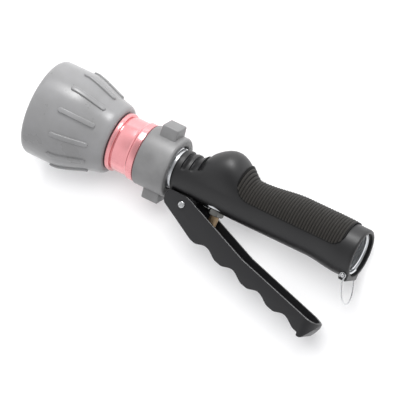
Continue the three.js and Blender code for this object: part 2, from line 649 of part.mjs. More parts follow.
const lever = cut(
  plate(leverOutline, LEVER_WIDTH).intersect(planCutter),
  plate(channelOutline, LEVER_WIDTH - 2 * LEVER_WALL).intersect(
    planCutter.translate([-LEVER_WALL, 0, 0]),
  ),
  turnedAcross(rod(-LEVER_WIDTH, LEVER_WIDTH, PIVOT_RADIUS + FIT), PIVOT_X, PIVOT_Y),
  turned(rod(-CUT, PIVOT_X, NECK_RADIUS + 3 * FIT)),
);
add('lever', lever, leverBlack);

const webInside = fingerSide(VALVE_X) + LEVER_WALL + 0.2;
const rodBottom = webInside + ROD_CLEARANCE;
add('push_rod', cut(
  turnedUp([
    ...arc(0, 0, PUSH_ROD_RADIUS, 0, 90, 6)
      .map(([radius, drop]) => [rodBottom + PUSH_ROD_RADIUS - drop, radius])
      .reverse(),
    [rodTop - 0.7, PUSH_ROD_RADIUS], [rodTop, PUSH_ROD_RADIUS - 0.7], [rodTop, 0],
  ]),
  turnedUp(rod(rodTop - STEM_SOCKET - FIT, rodTop + CUT, STEM_RADIUS - 0.5 + FIT)),
), brass);

// Two-piece pivot: a headed barrel from one side, a screw into it from the other, in a bronze bush.
const cheek = LEVER_WIDTH / 2;
const headOutline = (side, shank) => [
  [side * (cheek + FIT), shank], [side * (cheek + FIT), PIVOT_HEAD_RADIUS],
  [side * (cheek + FIT + 0.6), PIVOT_HEAD_RADIUS - 0.1], [side * (cheek + FIT + PIVOT_HEAD_HEIGHT), 1.4],
  [side * (cheek + FIT + PIVOT_HEAD_HEIGHT), 0],
];
add('pivot_barrel', cut(
  turnedAcross(
    [...headOutline(-1, PIVOT_RADIUS), [cheek - 1, 0], [cheek - 1, PIVOT_RADIUS]], PIVOT_X, PIVOT_Y,
  ),
  turnedAcross(rod(-2, cheek, SCREW_CORE + FIT), PIVOT_X, PIVOT_Y),
), stainless);
add('pivot_screw', cut(
  turnedAcross([...headOutline(1, SCREW_CORE), [0, 0], [0, SCREW_CORE]], PIVOT_X, PIVOT_Y),
  block(
    [PIVOT_X - PIVOT_HEAD_RADIUS - CUT, PIVOT_Y - SLOT_HALF_WIDTH, cheek + 1],
    [PIVOT_X + PIVOT_HEAD_RADIUS + CUT, PIVOT_Y + SLOT_HALF_WIDTH, cheek + 4],
  ),
), stainless);
add('pivot_bush', turnedAcross(
  pipe(-BOSS_HALF_WIDTH, BOSS_HALF_WIDTH, PIVOT_RADIUS + FIT, BUSH_RADIUS), PIVOT_X, PIVOT_Y,
), brass);

// ---- Wire bail -----------------------------------------------------------------------------------

const eyeletZ = LUG_HALF_WIDTH + FIT + BAIL_WIRE;
const loopRadius = eyeletZ;
const legLength = BAIL_LENGTH - loopRadius;
const bailCurve = new THREE.CurvePath();
const legPoint = (drop, z) => new THREE.Vector3(0, -drop, z);
bailCurve.add(new THREE.LineCurve3(legPoint(EYELET_RADIUS, eyeletZ), legPoint(legLength, eyeletZ)));
range(0, 180, 12).slice(1).forEach((angle, i) => {
  const at = (degrees) => {
    const turn = THREE.MathUtils.degToRad(degrees);
    return legPoint(legLength + loopRadius * Math.sin(turn), loopRadius * Math.cos(turn));
  };
  bailCurve.add(new THREE.LineCurve3(at(15 * i), at(angle)));
});
bailCurve.add(new THREE.LineCurve3(legPoint(legLength, -eyeletZ), legPoint(EYELET_RADIUS, -eyeletZ)));
const eyelet = (z) => {
  const section = arc(0, EYELET_RADIUS, BAIL_WIRE, 0, 300, 5);
  return turnedAcross(section, 0, 0).translate([0, 0, z]);
};
const bail = join(wire(bailCurve, BAIL_WIRE, 26, 6), eyelet(eyeletZ), eyelet(-eyeletZ));
add('wire_bail', bail.rotate([0, 0, BAIL_TILT]).translate([BAIL_X, BAIL_Y, 0]), stainless);

const headZ = eyeletZ + BAIL_WIRE + FIT;
const rivet = turnedAcross([
  [LUG_HALF_WIDTH - RIVET_GRIP, 0], [LUG_HALF_WIDTH - RIVET_GRIP, RIVET_RADIUS], [headZ, RIVET_RADIUS],
  [headZ, RIVET_HEAD_RADIUS], [headZ + 0.4, RIVET_HEAD_RADIUS],
  [headZ + RIVET_HEAD_HEIGHT, RIVET_HEAD_RADIUS - 0.9], [headZ + RIVET_HEAD_HEIGHT, 0],
], 0, 0);
add('bail_rivet_upper', rivet.translate([BAIL_X, BAIL_Y, 0]), stainless);
add('bail_rivet_lower', rivet.rotate([0, 180, 0]).translate([BAIL_X, BAIL_Y, 0]), stainless);

// ---- Barrel --------------------------------------------------------------------------------------

const FLANGE_FRONT = COUPLING_FRONT + 3.9;
const FLANGE_REAR = FLANGE_FRONT + 2.2;
const tailRadius = COUPLING_LIP - FIT;
const flareFront = COUPLING_FRONT - 5;
const ringFront = RING_REAR - RING_LENGTH;
const barrel = turned([
  [FLANGE_REAR, BORE_RADIUS + 0.5], [FLANGE_REAR, HANDLE_THREAD_RADIUS - 0.2],
  [FLANGE_FRONT, HANDLE_THREAD_RADIUS - 0.2], [FLANGE_FRONT, tailRadius], [COUPLING_FRONT - FIT, tailRadius],
  [COUPLING_FRONT - FIT, BARREL_FLARE - 0.4], [COUPLING_FRONT - 0.8, BARREL_FLARE],
  [flareFront, BARREL_FLARE], [flareFront - 1.2, BARREL_FLARE - 0.5], [flareFront - 3.4, BARREL_RADIUS],
  [RING_REAR + 0.8, BARREL_RADIUS], [RING_REAR + 0.6, BARREL_RADIUS - 0.5],
  [RING_REAR + 0.1, BARREL_RADIUS - 0.5], [RING_REAR, RING_RADIUS - 0.5],
  [RING_REAR - 0.5, RING_RADIUS], [ringFront + 0.5, RING_RADIUS], [ringFront, RING_RADIUS - 0.5],
  [ringFront, BARREL_THREAD_RADIUS - 0.8],
  ...threadRidges(ringFront - 1, ringFront - 13, BARREL_THREAD_RADIUS),
  [ringFront - 14, BARREL_THREAD_RADIUS], [BARREL_FRONT + 1, BARREL_THREAD_RADIUS],
  [BARREL_FRONT, BARREL_THREAD_RADIUS - 1], [BARREL_FRONT, BARREL_MOUTH + 0.8],
  [BARREL_FRONT + 1.2, BARREL_MOUTH],
  [MOUTH_TAPER[0], BARREL_MOUTH], [MOUTH_TAPER[1], BARREL_BORE],
  [TAIL_TAPER[0], BARREL_BORE], [TAIL_TAPER[1], BORE_RADIUS + 0.5],
]);
add('barrel', barrel, redAnodised);

// ---- Coupling ------------------------------------------------------------------------------------

const threadClear = HANDLE_THREAD_RADIUS + 0.4;
const lipRear = FLANGE_FRONT - 2 * FIT - WASHER_THICKNESS;
const couplingRing = turned([
  [COUPLING_REAR, COUPLING_RADIUS - 2.4], [COUPLING_REAR, COUPLING_RADIUS - 1],
  [COUPLING_REAR - 1, COUPLING_RADIUS], [COUPLING_FRONT + 1, COUPLING_RADIUS],
  [COUPLING_FRONT, COUPLING_RADIUS - 1], [COUPLING_FRONT, COUPLING_LIP],
  [lipRear, COUPLING_LIP], [lipRear, threadClear], [-6.4, threadClear], [-5.4, threadClear + 0.8],
]);
// A lug tapers a little towards its outer face.
function couplingLug(angle) {
  const foot = LUG_WIDTH / 2 + LUG_TAPER;
  const crown = COUPLING_RADIUS + LUG_HEIGHT;
  const outline = [
    [COUPLING_RADIUS - 5, -foot], [crown - 1.2, -LUG_WIDTH / 2], [crown, LUG_ROUND - LUG_WIDTH / 2],
    [crown, LUG_WIDTH / 2 - LUG_ROUND], [crown - 1.2, LUG_WIDTH / 2], [COUPLING_RADIUS - 5, foot],
  ];
  const upright = plate(outline, LUG_LENGTH).rotate([90, 0, 90]);
  return upright.translate([LUG_REAR - LUG_LENGTH / 2, 0, 0]).rotate([angle, 0, 0]);
}
const coupling = join(couplingRing, couplingLug(LUG_TURN), couplingLug(LUG_TURN + 180));
add('swivel_coupling', coupling, couplingGrey);
const washer = pipe(lipRear + FIT, FLANGE_FRONT - FIT, tailRadius + 2 * FIT, threadClear - FIT);
add('coupling_washer', turned(washer), whiteAcetal);
const couplingGasket = pipe(FLANGE_REAR + FIT, THREAD_FRONT - FIT, BORE_RADIUS + 0.6, threadClear - FIT);
add('coupling_gasket', turned(couplingGasket), sealRubber);

// ---- Spray head ----------------------------------------------------------------------------------

// Outside of the bumper at x: straight band, then a drawn-in shoulder down to the neck.
const bandRear = BUMPER_FRONT + BUMPER_BAND + 4;
function bumperOutside(x) {
  const t = THREE.MathUtils.clamp((x - bandRear) / (BUMPER_REAR - 4 - bandRear), 0, 1);
  const drawn = (1 - BUMPER_SLOPE) * t * t * (3 - 2 * t) + BUMPER_SLOPE * t;
  return BUMPER_RADIUS - (BUMPER_RADIUS - BUMPER_REAR_RADIUS) * drawn;
}
const shoulder = range(bandRear, BUMPER_REAR - 4, 7);
const SLEEVE_FRONT = BUMPER_FRONT + 7;
const sleeveBore = BARREL_THREAD_RADIUS + 0.4;
const bumperCasing = turned([
  ...arc(BUMPER_FRONT + BUMPER_EDGE, BUMPER_RADIUS - BUMPER_EDGE, BUMPER_EDGE, 180, 90, 5),
  ...shoulder.map((x) => [x, bumperOutside(x)]),
  [BUMPER_REAR - 2, BUMPER_REAR_RADIUS - 0.8], [BUMPER_REAR - 0.6, BUMPER_REAR_RADIUS - 2.4],
  [BUMPER_REAR, BUMPER_REAR_RADIUS - 3.8], [BUMPER_REAR, sleeveBore + 0.5],
  [BUMPER_REAR - 2.2, sleeveBore + 0.5],
  [BUMPER_REAR - 2.2, bumperOutside(BUMPER_REAR - 4) - BUMPER_WALL],
  ...[...shoulder].reverse().map((x) => [x, bumperOutside(x) - BUMPER_WALL]),
  [SLEEVE_FRONT, BUMPER_RADIUS - BUMPER_WALL], [SLEEVE_FRONT, TEETH_RADIUS + 0.4],
  [BUMPER_FRONT, TEETH_RADIUS + 2.4],
]);

// A rib that follows the shoulder and dips into it at both ends.
function bumperRib(angle) {
  const stations = range(RIB_FRONT, RIB_FRONT + RIB_LENGTH, 7);
  const proud = (x) => {
    const fromMiddle = Math.abs(2 * (x - RIB_FRONT) / RIB_LENGTH - 1);
    return bumperOutside(x) + RIB_HEIGHT * (fromMiddle > 0.99 ? 0.3 : 1);
  };
  const top = stations.map((x) => [x, proud(x)]);
  const bottom = [...stations].reverse().map((x) => [x, bumperOutside(x) - RIB_HEIGHT]);
  return plate([...top, ...bottom], RIB_WIDTH).rotate([angle, 0, 0]);
}
const ribAngles = range(0, 360, BUMPER_RIBS).slice(0, -1).map((angle) => angle + RIB_TURN);
const ribs = ribAngles.map(bumperRib);
add('rubber_bumper', join(bumperCasing, ...ribs), bumperRubber);

// Metal sleeve under the bumper: it screws along the barrel and opens into the spray cone in front.
const sleeveOutside = (x) => bumperOutside(x) - BUMPER_WALL - FIT;
const sleeveRear = BUMPER_REAR - 2.5;
const grooveEnds = [RING_GROOVE_X - RING_GROOVE_WIDTH / 2, RING_GROOVE_X + RING_GROOVE_WIDTH / 2];
const CONE_START = BARREL_FRONT - 0.6;
const teethRear = SLEEVE_FRONT + TEETH_LENGTH;
const sleeve = turned([
  [SLEEVE_FRONT + FIT, TEETH_RADIUS + 0.4 + FIT], [SLEEVE_FRONT + FIT, BUMPER_RADIUS - BUMPER_WALL - FIT],
  ...shoulder.map((x) => [x, sleeveOutside(x)]),
  [sleeveRear, sleeveOutside(BUMPER_REAR - 4)], [sleeveRear, sleeveBore],
  [grooveEnds[1], sleeveBore], [grooveEnds[1], sleeveBore + RING_GROOVE_DEPTH],
  [grooveEnds[0], sleeveBore + RING_GROOVE_DEPTH], [grooveEnds[0], sleeveBore],
  [CONE_START, sleeveBore], [teethRear + 3, TEETH_RADIUS - 4.6], [teethRear + FIT, TEETH_RADIUS - 4],
  [teethRear + FIT, TEETH_RADIUS + 0.4 + FIT],
]);
add('pattern_sleeve', sleeve, couplingGrey);
const sealRing = pipe(
  grooveEnds[0] + FIT, grooveEnds[1] - FIT, BARREL_THREAD_RADIUS + 0.2, sleeveBore + RING_GROOVE_DEPTH - FIT,
);
add('sleeve_o_ring', turned(sealRing), sealRubber);

// Ring of fog teeth pressed into the mouth of the sleeve.
const toothRoot = TEETH_RADIUS - 2.4;
const toothTip = toothRoot - TOOTH_HEIGHT;
const toothWidth = (Math.PI * toothRoot) / TEETH;
function fogTooth(i) {
  const outline = [
    [toothTip, -toothWidth * 0.32], [toothRoot + 1, -toothWidth / 2],
    [toothRoot + 1, toothWidth / 2], [toothTip, toothWidth * 0.32],
  ];
  const upright = plate(outline, TEETH_LENGTH - 1).rotate([90, 0, 90]);
  return upright.translate([SLEEVE_FRONT + TEETH_LENGTH / 2, 0, 0]).rotate([(i * 360) / TEETH, 0, 0]);
}
const toothRing = turned(pipe(SLEEVE_FRONT + FIT, teethRear, toothRoot, TEETH_RADIUS + 0.4));
add('fog_teeth_ring', join(toothRing, ...range(0, TEETH - 1, TEETH - 1).map(fogTooth)), couplingGrey);

// Baffle on its stem, held on the axis by a three-armed spider inside the barrel.
const spiderFront = SPIDER_X - SPIDER_LENGTH / 2;
const arm = block(
  [spiderFront, 2, -SPIDER_ARM],
  [SPIDER_X + SPIDER_LENGTH / 2, BARREL_BORE - FIT - 0.4, SPIDER_ARM],
);
const hubRadius = BAFFLE_STEM_RADIUS + 2.2;
const rim = pipe(spiderFront, SPIDER_X + SPIDER_LENGTH / 2, BARREL_BORE - 1.6, BARREL_BORE - FIT);
const spider = cut(
  join(
    turned(rod(spiderFront, SPIDER_X + SPIDER_LENGTH / 2, hubRadius), FINE), turned(rim),
    ...[0, 120, 240].map((angle) => arm.rotate([angle, 0, 0])),
  ),
  turned(rod(spiderFront - CUT, SPIDER_X + SPIDER_LENGTH, BAFFLE_STEM_RADIUS + FIT), FINE),
);
add('stem_spider', spider, brass);

const baffleRear = BAFFLE_FRONT + 8;
add('baffle', cut(
  turned([
    [BAFFLE_FRONT, 0], [BAFFLE_FRONT, BAFFLE_RADIUS - 1], [BAFFLE_FRONT + 1, BAFFLE_RADIUS],
    [BAFFLE_FRONT + 2.6, BAFFLE_RADIUS], [BAFFLE_FRONT + 5, BAFFLE_RADIUS - 5.4], [baffleRear, 5],
    [baffleRear, 0],
  ]),
  turned(rod(BAFFLE_FRONT + 2.4, baffleRear + CUT, BAFFLE_STEM_RADIUS + FIT), FINE),
  turned(rod(BAFFLE_FRONT - CUT, BAFFLE_FRONT + 1.6, HEAD_SOCKET), 6),
), couplingGrey);

const stemRear = SPIDER_X + SPIDER_LENGTH / 2 + 5;
const stemNutFront = SPIDER_X + SPIDER_LENGTH / 2 + FIT;
add('baffle_stem', turned(rod(BAFFLE_FRONT + 2.8, stemRear, BAFFLE_STEM_RADIUS), FINE), stainless);
add('stem_nut', cut(
  turned(rod(stemNutFront, stemNutFront + STEM_NUT_LENGTH, BAFFLE_STEM_RADIUS + 2), 6),
  turned(rod(stemNutFront - CUT, stemNutFront + STEM_NUT_LENGTH + CUT, BAFFLE_STEM_RADIUS + FIT), FINE),
), stainless);

// ---- Place: origin under the middle of the nozzle, on the surface that it lies on ------------------

const extent = new THREE.Box3().setFromObject(model);
const centre = extent.getCenter(new THREE.Vector3());
model.position.set(-centre.x, -centre.y, -extent.min.z);
model.updateMatrixWorld(true);

export default model;
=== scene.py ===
import math

import bmesh
import bpy
from mathutils import Matrix, Vector


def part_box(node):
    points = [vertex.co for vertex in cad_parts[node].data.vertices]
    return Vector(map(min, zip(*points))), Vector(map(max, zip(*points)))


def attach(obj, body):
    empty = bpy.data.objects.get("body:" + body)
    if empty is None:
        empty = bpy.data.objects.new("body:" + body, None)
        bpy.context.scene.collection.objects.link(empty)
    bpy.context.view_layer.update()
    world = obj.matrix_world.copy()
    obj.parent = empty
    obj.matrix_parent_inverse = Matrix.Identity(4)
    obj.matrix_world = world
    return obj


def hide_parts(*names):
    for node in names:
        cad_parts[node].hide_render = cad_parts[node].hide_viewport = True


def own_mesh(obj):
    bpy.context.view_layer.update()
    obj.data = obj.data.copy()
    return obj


# Fire hose nozzle lying on its side: a twist-to-adjust spray head in a rubber bumper, a red barrel, a swivel
# coupling and a squeeze-lever shut-off handle. Sizes are in millimetres from the middle of the handle's front
# face: x towards the hose, y towards the thumb bump, z up; turned pieces are given as (x, radius).
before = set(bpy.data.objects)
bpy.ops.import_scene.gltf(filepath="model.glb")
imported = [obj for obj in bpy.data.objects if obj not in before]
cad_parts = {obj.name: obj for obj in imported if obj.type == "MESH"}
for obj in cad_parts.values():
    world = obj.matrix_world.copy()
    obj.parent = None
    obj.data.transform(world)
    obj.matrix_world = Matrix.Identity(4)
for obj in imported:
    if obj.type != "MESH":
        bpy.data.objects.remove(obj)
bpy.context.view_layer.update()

MM = 0.001
handle_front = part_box("grip_shell")[0].x
barrel_low, barrel_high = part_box("barrel")
axis_y = (barrel_low.y + barrel_high.y) / 2
axis_z = (barrel_low.z + barrel_high.z) / 2


def place(x, y=0.0, z=0.0):
    """A point in mm from the handle's front face as a point in the row frame."""
    return Vector((handle_front + x * MM, axis_y + y * MM, axis_z + z * MM))


# ---- Studio --------------------------------------------------------------------------------------
# A sheet of matt white paper board under the nozzle in a white tent with an opening for the camera, one
# softbox high above and a smaller one low on the bump side.


def linear(hex_colour):
    """An sRGB hex colour as linear red, green, blue, alpha."""
    parts = [int(hex_colour[i : i + 2], 16) / 255 for i in (1, 3, 5)]
    return (*[c / 12.92 if c <= 0.04045 else ((c + 0.055) / 1.055) ** 2.4 for c in parts], 1.0)


def add_node(tree, kind, inputs=None, **settings):
    """Adds one node with its settings; an input given as a socket is linked, any other is set."""
    made = tree.nodes.new(kind)
    for key, value in settings.items():
        setattr(made, key, value)
    for key, value in (inputs or {}).items():
        if isinstance(value, bpy.types.NodeSocket):
            tree.links.new(value, made.inputs[key])
        else:
            made.inputs[key].default_value = value
    return made


def new_material(name, colour, roughness, metallic=0.0):
    """A material with its shader set to the plain finish; returns it with its tree, shader and coordinates."""
    material = bpy.data.materials.new(name)
    material.use_nodes = True
    tree = material.node_tree
    shader = tree.nodes["Principled BSDF"]
    shader.inputs["Base Color"].default_value = linear(colour)
    shader.inputs["Roughness"].default_value = roughness
    shader.inputs["Metallic"].default_value = metallic
    return material, tree, shader, add_node(tree, "ShaderNodeTexCoord")


bpy.ops.object.select_all(action="DESELECT")
bpy.ops.mesh.primitive_grid_add(x_subdivisions=8, y_subdivisions=8, size=6.0, location=(0, 0, -0.0002))
paper_floor = bpy.context.object
paper_floor.name = "paper_floor"
paper, tree, shader, coords = new_material("matt_paper", "#fdfdfd", 0.9)
fibres = add_node(tree, "ShaderNodeTexNoise", {"Vector": coords.outputs["Object"], "Scale": 900.0})
soft_fibres = add_node(
    tree, "ShaderNodeBump", {"Height": fibres.outputs["Fac"], "Distance": 0.00002, "Strength": 0.2}
)
tree.links.new(soft_fibres.outputs["Normal"], shader.inputs["Normal"])
paper_floor.data.materials.append(paper)

TO_CAMERA = Vector((0.309, 0.161, 0.937)).normalized()
world = bpy.data.worlds.new("white_tent")
world.use_nodes = True
sky = world.node_tree
outwards = add_node(sky, "ShaderNodeTexCoord")
to_opening = add_node(sky, "ShaderNodeVectorMath", {0: outwards.outputs["Generated"], 1: TO_CAMERA}, operation="DOT_PRODUCT")
opening = add_node(
    sky,
    "ShaderNodeMapRange",
    {"Value": to_opening.outputs["Value"], "From Min": 0.5, "From Max": 0.95, "To Min": 1.12, "To Max": 0.42},
    interpolation_type="SMOOTHSTEP",
)
sky.nodes["Background"].inputs["Color"].default_value = linear("#fdfdff")
sky.links.new(opening.outputs["Result"], sky.nodes["Background"].inputs["Strength"])
bpy.context.scene.world = world
bpy.context.scene.view_settings.view_transform = "Standard"


def softbox(name, towards, distance, width, height, power):
    """A soft light with a rectangular face, turned to the nozzle from a direction."""
    bpy.ops.object.light_add(type="AREA", location=Vector(towards).normalized() * distance)
    light = bpy.context.object
    light.name = name
    light.data.shape = "RECTANGLE"
    light.data.size = width
    light.data.size_y = height
    light.data.energy = power
    light.rotation_euler = Vector(towards).to_track_quat("Z", "Y").to_euler()
    return light


key = softbox("key_softbox", towards=(0.177, 0.365, 0.946), distance=1.5, width=0.6, height=0.6, power=12)
key.visible_glossy = False  # polarised, so that it leaves no reflection
softbox("bump_side_softbox", towards=(-0.13, 0.87, 0.47), distance=1.3, width=0.5, height=0.4, power=11)

PICTURE_UP = Vector((-0.408, 0.913, -0.022)).normalized()
LOOK_AT = place(22.6, -15.4, -4.8)
LENS = 600.0
SENSOR = 36.0
FIELD_WIDTH = 0.303  # what the frame takes in across, at the nozzle
bpy.ops.object.camera_add(location=LOOK_AT + TO_CAMERA * FIELD_WIDTH * LENS / SENSOR)
camera = bpy.context.object
camera.data.lens = LENS
camera.data.sensor_width = SENSOR
camera.data.clip_end = 50.0
picture_right = PICTURE_UP.cross(TO_CAMERA).normalized()
picture_up = TO_CAMERA.cross(picture_right)
aim = Matrix((picture_right, picture_up, TO_CAMERA)).transposed()
camera.rotation_euler = aim.to_euler()
bpy.context.scene.camera = camera

# ---- Barrel --------------------------------------------------------------------------------------
# Turned aluminium tube, red anodised. A raised ring stops the spray head, a flare backs the coupling, and the
# hidden front carries the thread that the spray head screws along.


def select_only(piece):
    """Makes one piece the only selected and the active one."""
    bpy.ops.object.select_all(action="DESELECT")
    piece.select_set(True)
    bpy.context.view_layer.objects.active = piece


def arc(x, y, radius, start, end, steps):
    """Points along an arc, between two angles in degrees."""
    angles = [math.radians(start + (end - start) * i / steps) for i in range(steps + 1)]
    return [(x + radius * math.cos(a), y + radius * math.sin(a)) for a in angles]


def spread(start, end, steps):
    """Evenly spaced values from start to end."""
    return [start + (end - start) * i / steps for i in range(steps + 1)]


def rod(start, end, radius):
    """The half outline of a plain round bar."""
    return [(start, 0), (start, radius), (end, radius), (end, 0)]


def pipe(start, end, inner, outer):
    """The half outline of a plain tube."""
    return [(start, inner), (start, outer), (end, outer), (end, inner), (start, inner)]


def draw(name, points):
    """Draws a line of points in the X-Y plane, starting from a primitive that is merged to one point."""
    bpy.ops.object.select_all(action="DESELECT")
    bpy.ops.mesh.primitive_plane_add(size=MM)
    piece = bpy.context.object
    piece.name = name
    bpy.ops.object.mode_set(mode="EDIT")
    bpy.ops.mesh.merge(type="CENTER")
    bpy.ops.transform.translate(value=(points[0][0] * MM, points[0][1] * MM, 0))
    for (x, y), (next_x, next_y) in zip(points, points[1:]):
        step = ((next_x - x) * MM, (next_y - y) * MM, 0)
        bpy.ops.mesh.extrude_vertices_move(TRANSFORM_OT_translate={"value": step})
    bpy.ops.mesh.select_all(action="SELECT")
    return piece


def close_up():
    """Merges seams and poles of the mesh in edit mode, turns its faces out, and leaves edit mode."""
    bpy.ops.mesh.select_all(action="SELECT")
    bpy.ops.mesh.remove_doubles(threshold=0.002 * MM)
    bpy.ops.mesh.normals_make_consistent(inside=False)
    bpy.ops.object.mode_set(mode="OBJECT")


def round_edges(piece, width, segments=2, sharper_than=30):
    """Breaks the sharp edges of a piece by a width in mm."""
    select_only(piece)
    bevel = piece.modifiers.new("broken_edges", "BEVEL")
    bevel.width = width * MM
    bevel.segments = segments
    bevel.limit_method = "ANGLE"
    bevel.angle_limit = math.radians(sharper_than)
    bevel.use_clamp_overlap = True
    bpy.ops.object.modifier_apply(modifier=bevel.name)


def turned(name, outline, steps=96, edge=0.15, segments=2):
    """A piece turned on a lathe about X: its half outline spun once round, with its edges broken."""
    piece = draw(name, outline)
    bpy.ops.mesh.spin(steps=steps, angle=2 * math.pi, center=(0, 0, 0), axis=(1, 0, 0))
    close_up()
    if edge:
        round_edges(piece, edge, segments)
    return piece


def set_down(piece, at=(0, 0, 0), turn=(0, 0, 0)):
    """Turns a piece made round the origin by degrees and puts it at its place on the nozzle."""
    select_only(piece)
    piece.rotation_euler = [math.radians(angle) for angle in turn]
    piece.location = place(*at)
    bpy.ops.object.transform_apply(location=True, rotation=True, scale=True)
    bpy.ops.object.shade_smooth_by_angle(angle=math.radians(32))


def fit(piece, material, slot, body, *nodes):
    """Gives a finished piece its material, its body and the plain nodes that it stands for."""
    piece.data.materials.clear()
    piece.data.materials.append(material)
    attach(piece, body)
    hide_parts(*nodes)


def thread_ridge(name, start, turns, root, crest, pitch):
    """The ridge of a screw thread wound round X, from its root radius to its crest radius."""
    sunk = math.copysign(0.15, root - crest)
    foot = [(start, root + sunk), (start + 0.8 * pitch, root + sunk)]
    tip = [(start + 0.47 * pitch, crest), (start + 0.33 * pitch, crest)]
    ridge = draw(name, [*foot, *tip, foot[0]])
    bpy.ops.mesh.remove_doubles(threshold=0.002 * MM)
    bpy.ops.object.mode_set(mode="OBJECT")
    wind = ridge.modifiers.new("wind", "SCREW")
    wind.axis = "X"
    wind.angle = 2 * math.pi * turns
    wind.screw_offset = pitch * MM * turns
    wind.steps = wind.render_steps = int(48 * turns)
    bpy.ops.object.modifier_apply(modifier=wind.name)
    bpy.ops.object.mode_set(mode="EDIT")
    bpy.ops.mesh.select_all(action="DESELECT")
    bpy.ops.mesh.select_mode(type="EDGE")
    bpy.ops.mesh.select_non_manifold()
    bpy.ops.mesh.fill_holes(sides=0)
    bpy.ops.mesh.select_mode(type="VERT")
    close_up()
    return ridge


def weld(piece, *others):
    """Joins pieces that are one casting or moulding into one object."""
    select_only(piece)
    for other in others:
        other.select_set(True)
    bpy.ops.object.join()


COUPLING_FRONT = -28.5
BARREL_RADIUS = 21.9
FLARE_RADIUS = 23.2
RING_RADIUS = 23.4
RING_REAR = -49.5
RING_FRONT = -53.5
SLEEVE_THREAD_RADIUS = 19.9
BARREL_FRONT = -101.0
BARREL_BORE = 14.0
BARREL_MOUTH = 13.0
FLANGE_FRONT = COUPLING_FRONT + 3.9
FLANGE_RADIUS = 16.2
TAIL_RADIUS = 14.6
WATERWAY_BORE = 11.0

barrel = turned(
    "barrel_turning",
    [
        (FLANGE_FRONT + 2.2, WATERWAY_BORE + 0.5), (FLANGE_FRONT + 2.2, FLANGE_RADIUS),
        (FLANGE_FRONT, FLANGE_RADIUS), (FLANGE_FRONT, TAIL_RADIUS), (COUPLING_FRONT - 0.3, TAIL_RADIUS),
        (COUPLING_FRONT - 0.3, FLARE_RADIUS - 0.9), (COUPLING_FRONT - 0.9, FLARE_RADIUS - 0.3),
        (COUPLING_FRONT - 0.9, FLARE_RADIUS), (COUPLING_FRONT - 4.6, FLARE_RADIUS),
        *arc(COUPLING_FRONT - 8.6, BARREL_RADIUS + 3.2, 3.2, -35, -90, 6),
        (RING_REAR + 1.2, BARREL_RADIUS), (RING_REAR + 1.0, BARREL_RADIUS - 0.7),
        (RING_REAR + 0.1, BARREL_RADIUS - 0.7), (RING_REAR, RING_RADIUS - 0.3),
        *arc(RING_REAR - 1.0, RING_RADIUS - 1.0, 1.0, 30, 90, 4),
        *arc(RING_FRONT + 1.0, RING_RADIUS - 1.0, 1.0, 90, 170, 5),
        (RING_FRONT, SLEEVE_THREAD_RADIUS - 0.8), (RING_FRONT - 13.5, SLEEVE_THREAD_RADIUS - 0.8),
        (RING_FRONT - 14, SLEEVE_THREAD_RADIUS), (BARREL_FRONT + 1, SLEEVE_THREAD_RADIUS),
        (BARREL_FRONT, SLEEVE_THREAD_RADIUS - 1), (BARREL_FRONT, BARREL_MOUTH + 0.8),
        (BARREL_FRONT + 1.2, BARREL_MOUTH), (-96, BARREL_MOUTH), (-93, BARREL_BORE), (-36, BARREL_BORE),
        (-33, WATERWAY_BORE + 0.5), (FLANGE_FRONT + 2.2, WATERWAY_BORE + 0.5),
    ],
    steps=144,
    edge=0.12,
)
weld(barrel, thread_ridge("sleeve_thread", RING_FRONT - 13, 5, SLEEVE_THREAD_RADIUS - 0.8, SLEEVE_THREAD_RADIUS, 2.2))
set_down(barrel)

# Dyed anodising over a fine turned surface: a clear, slightly glossy red with faint rings from the tool,
# 0.25 mm apart here so that they show.
anodised, tree, shader, coords = new_material("red_anodised_aluminium", "#e3989b", 0.2, 0.8)
tool_rings = add_node(
    tree, "ShaderNodeMapping", {"Vector": coords.outputs["Object"], "Scale": (4000.0, 30.0, 30.0)}
)
ring_noise = add_node(
    tree, "ShaderNodeTexNoise", {"Vector": tool_rings.outputs["Vector"], "Scale": 1.0, "Detail": 2.0}
)
dye = add_node(
    tree, "ShaderNodeTexNoise", {"Vector": coords.outputs["Object"], "Scale": 60.0, "Detail": 3.0}
)
red = add_node(tree, "ShaderNodeValToRGB", {"Fac": dye.outputs["Fac"]})
red.color_ramp.elements[0].position = 0.3
red.color_ramp.elements[0].color = linear("#da9396")
red.color_ramp.elements[1].position = 0.7
red.color_ramp.elements[1].color = linear("#e6a0a3")
gloss = add_node(
    tree,
    "ShaderNodeMapRange",
    {"Value": ring_noise.outputs["Fac"], "To Min": 0.18, "To Max": 0.3},
)
ring_bump = add_node(
    tree, "ShaderNodeBump", {"Height": ring_noise.outputs["Fac"], "Distance": 0.00001, "Strength": 0.4}
)
tree.links.new(red.outputs["Color"], shader.inputs["Base Color"])
tree.links.new(gloss.outputs["Result"], shader.inputs["Roughness"])
tree.links.new(ring_bump.outputs["Normal"], shader.inputs["Normal"])
fit(barrel, anodised, "red_anodised", "handle", "barrel")

# ---- Spray head: bumper --------------------------------------------------------------------------
# Thick grey rubber moulding pressed over the sleeve: a straight band in front that takes the knocks, then a
# drawn-in shoulder with twelve raised ribs for a gloved hand to turn.

BUMPER_FRONT = -120.0
BUMPER_REAR = -54.0
BUMPER_RADIUS = 38.2
BUMPER_REAR_RADIUS = 28.4
BAND_REAR = -91.0
SHOULDER_REAR = -58.0
BUMPER_WALL = 4.6
TEETH_RADIUS = 30.0
SLEEVE_FRONT = -113.0
SLEEVE_BORE = SLEEVE_THREAD_RADIUS + 0.4


def bumper_outside(x):
    """Radius of the bumper at x, from its straight band down the shoulder."""
    t = min(max((x - BAND_REAR) / (SHOULDER_REAR - BAND_REAR), 0.0), 1.0)
    drawn_in = 0.45 * t * t * (3 - 2 * t) + 0.55 * t
    return BUMPER_RADIUS - (BUMPER_RADIUS - BUMPER_REAR_RADIUS) * drawn_in


